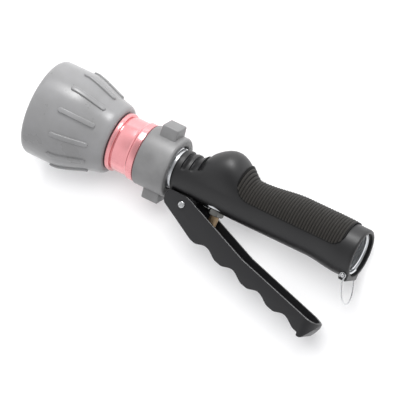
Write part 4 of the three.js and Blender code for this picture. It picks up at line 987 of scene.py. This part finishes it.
def panel_half_angle(x, grow=0.0):
    """Half the angle that the panel covers at x: one large round corner in front, a smaller one behind."""
    degrees_per_mm = 180 / math.pi / (GRIP_RADIUS + 1)

    def corner(from_end, lengthwise, depth):
        t = min(max(1 - from_end / lengthwise, 0.0), 1.0)
        return depth * (1 - math.sqrt(1 - t * t))

    front = corner(x - PANEL_START + grow, 15.0, 13.0)
    back = corner(PANEL_END + grow - x, 9.0, 9.0)
    return PANEL_HALF_ANGLE + (grow - max(front, back)) * degrees_per_mm


def panel_sheet(name, rows, columns, grow, height):
    """A sheet over the palm side, from a grid: rows along the grip, columns round it."""
    bpy.ops.object.select_all(action="DESELECT")
    bpy.ops.mesh.primitive_grid_add(x_subdivisions=rows, y_subdivisions=columns, size=2)
    sheet = bpy.context.object
    sheet.name = name
    for vertex in sheet.data.vertices:
        x = PANEL_START - grow + (PANEL_END - PANEL_START + 2 * grow) * (vertex.co.x + 1) / 2
        half = panel_half_angle(x, grow)
        angle = half * vertex.co.y
        radius = grip_radius(x, angle) + height(x, angle, half)
        turn = math.radians(angle)
        vertex.co = (x * MM, radius * math.cos(turn) * MM, radius * math.sin(turn) * MM)
    return sheet


def thicken(piece, thickness):
    """Gives a sheet its thickness inwards, with closed edges."""
    select_only(piece)
    wall = piece.modifiers.new("wall", "SOLIDIFY")
    wall.thickness = thickness * MM
    wall.offset = -1
    wall.use_even_offset = False
    bpy.ops.object.modifier_apply(modifier=wall.name)


def ribbed(x, angle, half):
    """How far a point lies inside the panel's smooth border, 0 to 1, and how deep between two crests."""
    from_ends = min(x - PANEL_START, PANEL_END - x)
    from_sides = math.radians(half - abs(angle)) * (GRIP_RADIUS + 1)
    inside = ease(BORDER, BORDER + 0.9, min(from_ends, from_sides))
    phase = math.cos(2 * math.pi * (x - PANEL_START) / RIB_PITCH)
    return inside, (0.5 - 0.5 * phase) ** 0.42


def rib_height(x, angle, half):
    """Height of the ribbed rubber over the grip's surface: narrow crests over wide hollows."""
    inside, hollow = ribbed(x, angle, half)
    return inside * (CREST - RIB_DEPTH * hollow)


pocket = panel_sheet("panel_pocket", 96, 48, 0.1, lambda x, angle, half: 4.0)
thicken(pocket, PANEL_THICKNESS + 4.3)
cut(shell, pocket)
set_down(shell)

# Glass-filled nylon: near black with a fine spark-eroded grain of about 0.5 mm, and a dull sheen.
nylon, tree, shader, coords = new_material("glass_filled_nylon", "#252526", 0.46)
mottle = add_node(
    tree, "ShaderNodeTexNoise", {"Vector": coords.outputs["Object"], "Scale": 90.0, "Detail": 4.0}
)
nylon_black = add_node(tree, "ShaderNodeValToRGB", {"Fac": mottle.outputs["Fac"]})
nylon_black.color_ramp.elements[0].position = 0.3
nylon_black.color_ramp.elements[0].color = linear("#0f0f10")
nylon_black.color_ramp.elements[1].position = 0.7
nylon_black.color_ramp.elements[1].color = linear("#101011")
nylon_gloss = add_node(
    tree, "ShaderNodeMapRange", {"Value": mottle.outputs["Fac"], "To Min": 0.38, "To Max": 0.5}
)
pores = add_node(
    tree, "ShaderNodeTexNoise", {"Vector": coords.outputs["Object"], "Scale": 2000.0, "Detail": 3.0}
)
pore_bump = add_node(
    tree, "ShaderNodeBump", {"Height": pores.outputs["Fac"], "Distance": 0.00004, "Strength": 0.35}
)
tree.links.new(nylon_black.outputs["Color"], shader.inputs["Base Color"])
tree.links.new(nylon_gloss.outputs["Result"], shader.inputs["Roughness"])
tree.links.new(pore_bump.outputs["Normal"], shader.inputs["Normal"])
fit(shell, nylon, "black_nylon", "handle", "grip_shell")

panel = panel_sheet("palm_panel_rubber", 400, 72, 0.0, rib_height)
# Painted light: 1 on the crests (painted highlight), down to 0.3 in the hollows and on the smooth border (painted
# shade).
painted_light_values = []
for vertex in panel.data.vertices:
    x = vertex.co.x / MM
    angle = math.degrees(math.atan2(vertex.co.z, vertex.co.y))
    inside, hollow = ribbed(x, angle, panel_half_angle(x))
    painted_light_values.append(0.3 + inside * (0.7 - hollow))
painted_light_layer = panel.data.attributes.new("crest", "FLOAT", "POINT")
painted_light_layer.data.foreach_set("value", painted_light_values)
thicken(panel, PANEL_THICKNESS - 0.5)
set_down(panel)

# Ribbed rubber: black; painted shade darkens the hollows to near black and a painted highlight makes the crests a paler
# brownish grey. The smooth border takes the darkest colour.
palm_rubber, tree, shader, coords = new_material("ribbed_palm_rubber", "#1d1c1a", 0.62)
shader.inputs["Specular IOR Level"].default_value = 0.28
height = add_node(tree, "ShaderNodeAttribute", attribute_name="crest", attribute_type="GEOMETRY")
painted_light_ramp = add_node(tree, "ShaderNodeValToRGB", {"Fac": height.outputs["Fac"]})
painted_light_ramp.color_ramp.elements[0].position = 0.3
painted_light_ramp.color_ramp.elements[0].color = linear("#020202")
painted_light_ramp.color_ramp.elements[1].position = 1.0
painted_light_ramp.color_ramp.elements[1].color = linear("#2b2926")
rub_gloss = add_node(
    tree, "ShaderNodeMapRange", {"Value": height.outputs["Fac"], "To Min": 0.85, "To Max": 0.5}
)
rubber_grain = add_node(
    tree, "ShaderNodeTexNoise", {"Vector": coords.outputs["Object"], "Scale": 2600.0, "Detail": 2.0}
)
rubber_bump = add_node(
    tree, "ShaderNodeBump", {"Height": rubber_grain.outputs["Fac"], "Distance": 0.00003, "Strength": 0.3}
)
tree.links.new(painted_light_ramp.outputs["Color"], shader.inputs["Base Color"])
tree.links.new(rub_gloss.outputs["Result"], shader.inputs["Roughness"])
tree.links.new(rubber_bump.outputs["Normal"], shader.inputs["Normal"])
fit(panel, palm_rubber, "black_rubber", "handle", "palm_panel")

# ---- Screw under the neck ------------------------------------------------------------------------
# A small steel pan-head screw with a cross recess that ties the shell to the casting.

SCREW_SEAT = -grip_radius(SCREW_X, 180)
screw = upright(
    "neck_screw",
    [
        (SCREW_SEAT + 1.4, 0), (SCREW_SEAT + 1.4, 1.2), (SCREW_SEAT - 0.3, 1.2), (SCREW_SEAT - 0.3, 2.1),
        *arc(SCREW_SEAT - 0.5, 1.0, 1.1, 90, 180, 5), (SCREW_SEAT - 1.6, 0),
    ],
    32, 0.08, SCREW_X,
)
cut(screw, box("recess", (SCREW_X - 1.3, SCREW_SEAT - 2.5, -0.22), (SCREW_X + 1.3, SCREW_SEAT - 1.0, 0.22), 0))
cut(screw, box("recess", (SCREW_X - 0.22, SCREW_SEAT - 2.5, -1.3), (SCREW_X + 0.22, SCREW_SEAT - 1.0, 1.3), 0))
set_down(screw)
fit(screw, steel, "stainless", "handle", "grip_screw")

# ---- Valve ---------------------------------------------------------------------------------------
# A lift valve across the waterway: brass seat and poppet with a rubber disc, steel stem, coil spring under a
# screwed brass cap. Below, a hexagonal gland nut packs the brass rod that the lever pushes.

SEAT_BORE = 6.2
SEAT_TOP = SEAT_Y + 3.3
SEAL_BOTTOM = SEAT_TOP + 0.3
POPPET_BOTTOM = SEAL_BOTTOM + 1.9
POPPET_TOP = POPPET_BOTTOM + 2.4
POPPET_RADIUS = 7.6
VALVE_STEM_RADIUS = 2.4
HUB = VALVE_STEM_RADIUS + 0.3
STEM_TOP = POPPET_TOP + 2.9
CAP_BOTTOM = CHAMBER_TOP - 5
ROD_TOP = LOWER_CHAMBER_FLOOR + 0.5

seat = upright(
    "valve_seat_ring",
    [
        (SEAT_Y + 0.3, SEAT_BORE), (SEAT_Y + 0.3, CHAMBER_BORE - 0.3), (SEAT_TOP - 1, CHAMBER_BORE - 0.3),
        (SEAT_TOP - 1, SEAT_BORE + 1.4), (SEAT_TOP, SEAT_BORE + 0.8), (SEAT_TOP, SEAT_BORE),
        (SEAT_Y + 0.3, SEAT_BORE),
    ],
    64,
)
set_down(seat)
fit(seat, brass, "brass", "handle", "valve_seat")

seal_disc = upright("poppet_disc", pipe(SEAL_BOTTOM, SEAL_BOTTOM + 1.6, HUB, POPPET_RADIUS), 64, 0.3)
set_down(seal_disc)
fit(seal_disc, nitrile, "seal_rubber", "valve", "poppet_seal")

poppet = upright(
    "poppet_turning",
    [
        (POPPET_BOTTOM, HUB), (POPPET_BOTTOM, POPPET_RADIUS), (POPPET_TOP - 1, POPPET_RADIUS),
        (POPPET_TOP, POPPET_RADIUS - 1), (POPPET_TOP, HUB), (POPPET_BOTTOM, HUB),
    ],
    64,
)
set_down(poppet)
fit(poppet, brass, "brass", "valve", "poppet")

valve_stem = upright(
    "valve_stem_bar",
    [
        (ROD_TOP - 6, 0), (ROD_TOP - 6, VALVE_STEM_RADIUS - 0.5), (ROD_TOP, VALVE_STEM_RADIUS - 0.5),
        (ROD_TOP + 0.3, VALVE_STEM_RADIUS), (SEAL_BOTTOM - 1.9, VALVE_STEM_RADIUS),
        (SEAL_BOTTOM - 1.9, VALVE_STEM_RADIUS + 1.4), (SEAL_BOTTOM - 0.3, VALVE_STEM_RADIUS + 1.4),
        (SEAL_BOTTOM - 0.3, VALVE_STEM_RADIUS), (POPPET_TOP + 0.3, VALVE_STEM_RADIUS),
        (POPPET_TOP + 0.3, VALVE_STEM_RADIUS + 1.2), (STEM_TOP - 0.6, VALVE_STEM_RADIUS + 1.2),
        (STEM_TOP, VALVE_STEM_RADIUS + 0.4), (STEM_TOP, 0),
    ],
    48, 0.1,
)
set_down(valve_stem)
fit(valve_stem, steel, "stainless", "valve", "valve_stem")

cap = upright(
    "chamber_plug",
    [
        (CAP_BOTTOM, 0), (CAP_BOTTOM, CHAMBER_BORE - 0.3), (CAP_BOTTOM + 1, CHAMBER_BORE - 0.3),
        (CAP_BOTTOM + 1, CHAMBER_BORE - 1.6), (CAP_BOTTOM + 2.6, CHAMBER_BORE - 1.6),
        (CAP_BOTTOM + 2.6, CHAMBER_BORE - 0.3), (CHAMBER_TOP, CHAMBER_BORE - 0.3), (CHAMBER_TOP, 0),
    ],
    64,
)
SPRING_RADIUS = 5.6
SPRING_WIRE = 0.48
cut(cap, upright("plug_key", rod(CHAMBER_TOP - 2.5, CHAMBER_TOP + 1, 4.6), 6, 0))
cut(cap, upright("spring_pocket", rod(CAP_BOTTOM - 1, CAP_BOTTOM + 0.8, SPRING_RADIUS + SPRING_WIRE + 0.3), 48, 0))
set_down(cap)
fit(cap, brass, "brass", "handle", "chamber_cap")

cap_seal = o_ring("plug_seal", 0.0, CHAMBER_BORE - 0.75, 0.6, 64)
select_only(cap_seal)
cap_seal.rotation_euler.z = math.pi / 2
cap_seal.location = (VALVE_X * MM, (CAP_BOTTOM + 1.8) * MM, 0)
bpy.ops.object.transform_apply(location=True, rotation=True, scale=True)
set_down(cap_seal)
fit(cap_seal, nitrile, "seal_rubber", "handle", "chamber_cap_o_ring")


def wire(name, points, radius, sides=6):
    """A round wire through a line of points in mm: a curve with a round section, made a mesh."""
    curve = bpy.data.curves.new(name, "CURVE")
    curve.dimensions = "3D"
    curve.bevel_depth = radius * MM
    curve.bevel_resolution = sides
    curve.use_fill_caps = True
    spline = curve.splines.new("POLY")
    spline.points.add(len(points) - 1)
    for point, place_in_mm in zip(spline.points, points):
        point.co = (*[value * MM for value in place_in_mm], 1)
    made = bpy.data.objects.new(name, curve)
    bpy.context.scene.collection.objects.link(made)
    select_only(made)
    bpy.ops.object.convert(target="MESH")
    return bpy.context.object


SPRING_BOTTOM = POPPET_TOP + 0.3 + SPRING_WIRE
SPRING_TOP = CAP_BOTTOM + 0.5 - SPRING_WIRE
SPRING_TURNS = 3
coil_points = []
for i in range(SPRING_TURNS * 32 + 1):
    turn = 2 * math.pi * i / 32
    rise = SPRING_BOTTOM + (SPRING_TOP - SPRING_BOTTOM) * i / (SPRING_TURNS * 32)
    coil_points.append((VALVE_X + SPRING_RADIUS * math.cos(turn), rise, SPRING_RADIUS * math.sin(turn)))
spring = wire("poppet_spring", coil_points, SPRING_WIRE)
set_down(spring)
fit(spring, steel, "stainless", "handle", "valve_spring")
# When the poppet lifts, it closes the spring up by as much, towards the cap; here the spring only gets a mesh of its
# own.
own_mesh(spring)

NUT_TOP = CHAMBER_FLOOR - 0.3
NUT_BOTTOM = NUT_TOP - 5.6
nut_corner = NUT_ACROSS_FLATS / 2 / math.cos(math.pi / 6)
gland_nut = upright("gland_nut", rod(NUT_BOTTOM, NUT_TOP, nut_corner), 6, 0.25)
chamfer = upright(
    "chamfer",
    [
        (NUT_BOTTOM - 1, nut_corner - 2.2), (NUT_BOTTOM - 1, nut_corner + 2), (NUT_BOTTOM + 0.9, nut_corner + 2),
        (NUT_BOTTOM + 0.9, nut_corner), (NUT_BOTTOM - 0.05, nut_corner - 1.1),
        (NUT_BOTTOM - 1, nut_corner - 2.2),
    ],
    64, 0,
)
cut(gland_nut, chamfer)
fuse(gland_nut, upright("gland_spigot", rod(NUT_TOP - 1, PACKING_FLOOR - 2.6, PACKING_RADIUS - 0.3), 48, 0))
cut(gland_nut, upright("gland_bore", rod(NUT_BOTTOM - 2, PACKING_FLOOR, ROD_RADIUS + 0.3), 48, 0))
set_down(gland_nut)
# A darker copy of the steel for the gland nut: partly a dull plated finish, partly painted shade for its place under
# the grip.
shaded_plated_steel, tree, shader, coords = new_material("dull_plated_steel_painted_shade", "#7d7d7a", 0.42, 1.0)
smudge = add_node(tree, "ShaderNodeTexNoise", {"Vector": coords.outputs["Object"], "Scale": 500.0, "Detail": 4.0})
zinc_gloss = add_node(tree, "ShaderNodeMapRange", {"Value": smudge.outputs["Fac"], "To Min": 0.34, "To Max": 0.55})
tree.links.new(zinc_gloss.outputs["Result"], shader.inputs["Roughness"])
fit(gland_nut, shaded_plated_steel, "stainless", "handle", "packing_nut")

packing = upright("rod_packing", pipe(PACKING_FLOOR - 2.3, PACKING_FLOOR - 0.3, ROD_RADIUS + 0.15, PACKING_RADIUS - 0.15), 48, 0.2)
set_down(packing)
fit(packing, nitrile, "seal_rubber", "handle", "stem_packing")

# ---- Lever ---------------------------------------------------------------------------------------
# Aluminium channel, powder-coated black: two cheeks and a web with four finger hollows, a closed rounded tip
# with a small hook, open towards the grip. A pale painted highlight runs along the slanted faces of its top edges.

LEVER_REACH = 150.0
FINGER_PITCH = 25.8
FINGER_FIRST = 47.0
FINGER_COUNT = 4
FINGER_DEPTH = 3.8
FINGER_HALF_WIDTH = 10.5
CREST_X = 32.6
CREST_Y = -43.2
CREST_SLOPE = -0.271


def finger_side(x):
    """The finger side of the lever at x: a straight run of crests with a rounded hollow for each finger."""
    y = CREST_Y + CREST_SLOPE * (x - CREST_X)
    for i in range(FINGER_COUNT):
        off = (x - FINGER_FIRST - i * FINGER_PITCH) / FINGER_HALF_WIDTH
        if abs(off) < 1:
            y += FINGER_DEPTH * (0.5 + 0.5 * math.cos(math.pi * off)) ** 0.8
    return y


def plate(name, outline, half_width):
    """A flat outline in the X-Y plane, filled and drawn out to both sides."""
    piece = draw(name, [*outline, outline[0]])
    bpy.ops.mesh.remove_doubles(threshold=0.002 * MM)
    bpy.ops.mesh.select_all(action="SELECT")
    bpy.ops.mesh.edge_face_add()
    bpy.ops.transform.translate(value=(0, 0, -half_width * MM))
    bpy.ops.mesh.extrude_region_move(TRANSFORM_OT_translate={"value": (0, 0, 2 * half_width * MM)})
    close_up()
    return piece


ROUND_START = 139.0


def round_tip(piece, half_width, tip_x):
    """Draws the sides of a plate together towards its tip along a quarter ellipse."""
    select_only(piece)
    bpy.ops.object.mode_set(mode="EDIT")
    for i in range(13):
        x = ROUND_START + (tip_x - ROUND_START) * math.sin(math.pi / 2 * i / 12.6)
        bpy.ops.mesh.select_all(action="SELECT")
        bpy.ops.mesh.bisect(plane_co=(x * MM, 0, 0), plane_no=(1, 0, 0))
    bpy.ops.object.mode_set(mode="OBJECT")
    for vertex in piece.data.vertices:
        t = min(max((vertex.co.x / MM - ROUND_START) / (tip_x - ROUND_START), 0.0), 0.992)
        vertex.co.z *= math.sqrt(1 - t * t)


top_edge = [(4, -14.4), (17.6, -14.8), (21, -16), (49, -28), (77, -40), (111, -50.2), (144.6, -60.3)]
tip_end = [(148, -61.1), (150.2, -61.4), (150.4, -62.6), (148.6, -66), (145.6, -70.6)]
hook = [(142.8, -74.2), (141.6, -74.8), (139.4, -74.8), (138.6, -74.2), (138.2, -71.9)]
nose = [(9, -29.6), *arc(8.6, -20.4, 8.2, 222, 148, 7)]
fingers = [(x, finger_side(x)) for x in spread(137.4, CREST_X, 110)]
lever = plate("lever_channel", [*top_edge, *tip_end, *hook, *fingers, *nose], LEVER_HALF_WIDTH)
round_tip(lever, LEVER_HALF_WIDTH, LEVER_REACH + 0.6)
round_edges(lever, 0.9, 4, 40)

INNER_HALF_WIDTH = LEVER_HALF_WIDTH - LEVER_WALL
inner_fingers = [(x, y + LEVER_WALL + 0.2) for x, y in fingers[4:-2]]
inner = plate(
    "lever_hollow",
    [
        (2, -8), (147, -52), (147.6, -61.6), (144.4, -66.2), (139, -69.4), *inner_fingers,
        (33.6, -40.2), (10.4, -27.4), (5.2, -23.6), (3.4, -20), (4.2, -16.4),
    ],
    INNER_HALF_WIDTH,
)
round_tip(inner, INNER_HALF_WIDTH, LEVER_REACH + 0.6 - LEVER_WALL)
cut(lever, inner)
cut(lever, sideways("pivot_bore", rod(-20, 20, PIVOT_RADIUS + 0.3), PIVOT_X, PIVOT_Y, 48, 0))
cut(lever, turned("neck_room", rod(-1, PIVOT_X, NECK_RADIUS + 0.9), 96, 0))

# Marks the slanted top-edge faces that turn towards the grip, for a painted highlight.
rim_values = []
for face in lever.data.polygons:
    x, y, z = face.center / MM
    slanting = 0.25 < abs(face.normal.z) < 0.97
    rim_values.append(1.0 if slanting and face.normal.y > 0.2 and x > 19 and abs(z) > 9 else 0.0)
rim = lever.data.attributes.new("rim", "FLOAT", "FACE")
rim.data.foreach_set("value", rim_values)
set_down(lever)

# Powder coat: black with a fine orange peel about 1 mm across, and a pale grey painted highlight on the slanted
# top-edge faces that face the grip.
powder, tree, shader, coords = new_material("black_powder_coat", "#262627", 0.4)
rim_highlight_mask = add_node(tree, "ShaderNodeAttribute", attribute_name="rim", attribute_type="GEOMETRY")
coat = add_node(tree, "ShaderNodeTexNoise", {"Vector": coords.outputs["Object"], "Scale": 80.0, "Detail": 4.0})
coat_black = add_node(tree, "ShaderNodeValToRGB", {"Fac": coat.outputs["Fac"]})
coat_black.color_ramp.elements[0].color = linear("#171718")
coat_black.color_ramp.elements[1].color = linear("#18181a")
with_painted_rim_highlight = add_node(
    tree,
    "ShaderNodeMix",
    {0: rim_highlight_mask.outputs["Fac"], 6: coat_black.outputs["Color"], 7: linear("#a2a2a3")},
    data_type="RGBA",
)
peel = add_node(tree, "ShaderNodeTexNoise", {"Vector": coords.outputs["Object"], "Scale": 1000.0, "Detail": 1.0})
peel_bump = add_node(
    tree, "ShaderNodeBump", {"Height": peel.outputs["Fac"], "Distance": 0.00004, "Strength": 0.3}
)
tree.links.new(with_painted_rim_highlight.outputs[2], shader.inputs["Base Color"])
tree.links.new(peel_bump.outputs["Normal"], shader.inputs["Normal"])
fit(lever, powder, "lever_black", "lever", "lever")

# ---- Push rod ------------------------------------------------------------------------------------
# Brass rod with a domed foot that rests over the lever's web and slides through the gland nut.

ROD_FOOT = finger_side(VALVE_X) + LEVER_WALL + 0.65
push_rod = upright(
    "push_rod_bar",
    [
        *[(ROD_FOOT + ROD_RADIUS - up, r) for r, up in reversed(arc(0, 0, ROD_RADIUS, 0, 90, 10))],
        (ROD_TOP - 0.7, ROD_RADIUS), (ROD_TOP, ROD_RADIUS - 0.7), (ROD_TOP, 0),
    ],
    64, 0,
)
cut(push_rod, upright("rod_socket", rod(ROD_TOP - 6.3, ROD_TOP + 1, VALVE_STEM_RADIUS - 0.2), 32, 0))
set_down(push_rod)
# A darker, browner copy of the brass for the push rod: partly an oiled tarnish, partly painted shade for its place
# inside the lever's channel.
shaded_brown_brass, tree, shader, coords = new_material("brown_brass_painted_shade", "#a08a6e", 0.45, 0.9)
oil = add_node(tree, "ShaderNodeTexNoise", {"Vector": coords.outputs["Object"], "Scale": 400.0, "Detail": 3.0})
oil_gloss = add_node(tree, "ShaderNodeMapRange", {"Value": oil.outputs["Fac"], "To Min": 0.35, "To Max": 0.55})
tree.links.new(oil_gloss.outputs["Result"], shader.inputs["Roughness"])
fit(push_rod, shaded_brown_brass, "brass", "valve", "push_rod")

# ---- Pivot ---------------------------------------------------------------------------------------
# A two-piece slotted steel pivot: a headed barrel from below, a screw into it from above, in a brass bush
# pressed through the shell's boss.

HEAD_RADIUS = 2.7
HEAD_TOP = LEVER_HALF_WIDTH + 1.6
head = [
    (LEVER_HALF_WIDTH + 0.3, HEAD_RADIUS), (LEVER_HALF_WIDTH + 0.8, HEAD_RADIUS),
    *arc(LEVER_HALF_WIDTH + 0.6, 1.7, 1.0, 60, 0, 4), (HEAD_TOP, 0),
]
SLOT_HALF_WIDTH = 0.5
SLOT_DEPTH = 1.1
SLOT_TURN = 52.0  # the slot stopped askew when the screw was tightened, in degrees


def screwdriver_slot(low, high):
    """Cutter for a slot across the pivot's head between two heights."""
    slot = box("slot", (-3, -SLOT_HALF_WIDTH, low), (3, SLOT_HALF_WIDTH, high), 0)
    slot.rotation_euler = (0, 0, math.radians(SLOT_TURN))
    select_only(slot)
    bpy.ops.object.transform_apply(location=False, rotation=True, scale=False)
    slot.location = (PIVOT_X * MM, PIVOT_Y * MM, 0)
    bpy.ops.object.transform_apply(location=True, rotation=False, scale=False)
    return slot


pivot_screw = sideways("pivot_screw_upper", [(0, 0), (0, 0.9), (LEVER_HALF_WIDTH + 0.3, 0.9), *head], PIVOT_X, PIVOT_Y, 48, 0.08)
cut(pivot_screw, screwdriver_slot(HEAD_TOP - SLOT_DEPTH, HEAD_TOP + 2))
set_down(pivot_screw)
fit(pivot_screw, steel, "stainless", "lever", "pivot_screw")

barrel_head = [(-z, r) for z, r in reversed(head)]
pivot_barrel = sideways(
    "pivot_barrel_lower",
    [*barrel_head, (-LEVER_HALF_WIDTH - 0.3, PIVOT_RADIUS), (LEVER_HALF_WIDTH - 1, PIVOT_RADIUS), (LEVER_HALF_WIDTH - 1, 0)],
    PIVOT_X, PIVOT_Y, 48, 0.08,
)
cut(pivot_barrel, sideways("screw_bore", rod(-2, LEVER_HALF_WIDTH, 1.2), PIVOT_X, PIVOT_Y, 32, 0))
cut(pivot_barrel, screwdriver_slot(-HEAD_TOP - 2, -HEAD_TOP + SLOT_DEPTH))
set_down(pivot_barrel)
fit(pivot_barrel, steel, "stainless", "lever", "pivot_barrel")

bush = sideways("pivot_bush_tube", pipe(-BOSS_HALF_WIDTH, BOSS_HALF_WIDTH, PIVOT_RADIUS + 0.3, BUSH_RADIUS), PIVOT_X, PIVOT_Y, 48)
set_down(bush)
fit(bush, brass, "brass", "handle", "pivot_bush")

# ---- Wire bail -----------------------------------------------------------------------------------
# One length of 1.4 mm stainless wire bent to a round-ended loop, each end curled to an eyelet on a rivet in
# the foot. A real one hooks over the squeezed lever. This one swings less far, from -20 to 60 degrees.

BAIL_LENGTH = 22.3
BAIL_TILT = 19.0  # lean of the hanging loop towards the inlet, in degrees
EYELET_Z = FOOT_HALF_WIDTH + 0.3 + WIRE_RADIUS
LEG_LENGTH = BAIL_LENGTH - EYELET_Z


def bail_point(along, drop, z):
    """A point on the bail, from its pivot: along the waterway, down the loop and across it."""
    tilt = math.radians(BAIL_TILT)
    x = BAIL_X + along * math.cos(tilt) + drop * math.sin(tilt)
    y = BAIL_Y + along * math.sin(tilt) - drop * math.cos(tilt)
    return (x, y, z)


def eyelet(z):
    """Most of a circle round the rivet, ending where the leg leaves it."""
    return [bail_point(a, b, z) for a, b in arc(0, 0, EYELET_RADIUS, -215, 55, 18)]


upper_leg = [bail_point(EYELET_RADIUS * 0.35, EYELET_RADIUS + 0.9, EYELET_Z), bail_point(0, LEG_LENGTH * 0.6, EYELET_Z)]
loop = [bail_point(0, LEG_LENGTH + b, a) for a, b in arc(0, 0, EYELET_Z, 0, 180, 28)]
lower_leg = [(x, y, -z) for x, y, z in reversed(upper_leg)]
bail_path = [*eyelet(EYELET_Z), *upper_leg, *loop, *lower_leg, *reversed(eyelet(-EYELET_Z))]
bail = wire("bail_wire", bail_path, WIRE_RADIUS, 5)
set_down(bail)
fit(bail, steel, "stainless", "bail", "wire_bail")

RIVET_SEAT = EYELET_Z + WIRE_RADIUS + 0.3
for name, side in (("bail_rivet_upper", 1), ("bail_rivet_lower", -1)):
    outline = [
        (side * (FOOT_HALF_WIDTH - 2.7), 0), (side * (FOOT_HALF_WIDTH - 2.7), RIVET_RADIUS),
        (side * RIVET_SEAT, RIVET_RADIUS), (side * RIVET_SEAT, 1.6), (side * (RIVET_SEAT + 0.3), 1.6),
        (side * (RIVET_SEAT + 0.8), 1.0), (side * (RIVET_SEAT + 0.9), 0),
    ]
    rivet = sideways(name + "_head", outline, BAIL_X, BAIL_Y, 40, 0.12)
    set_down(rivet)
    fit(rivet, steel, "stainless", "handle", name)
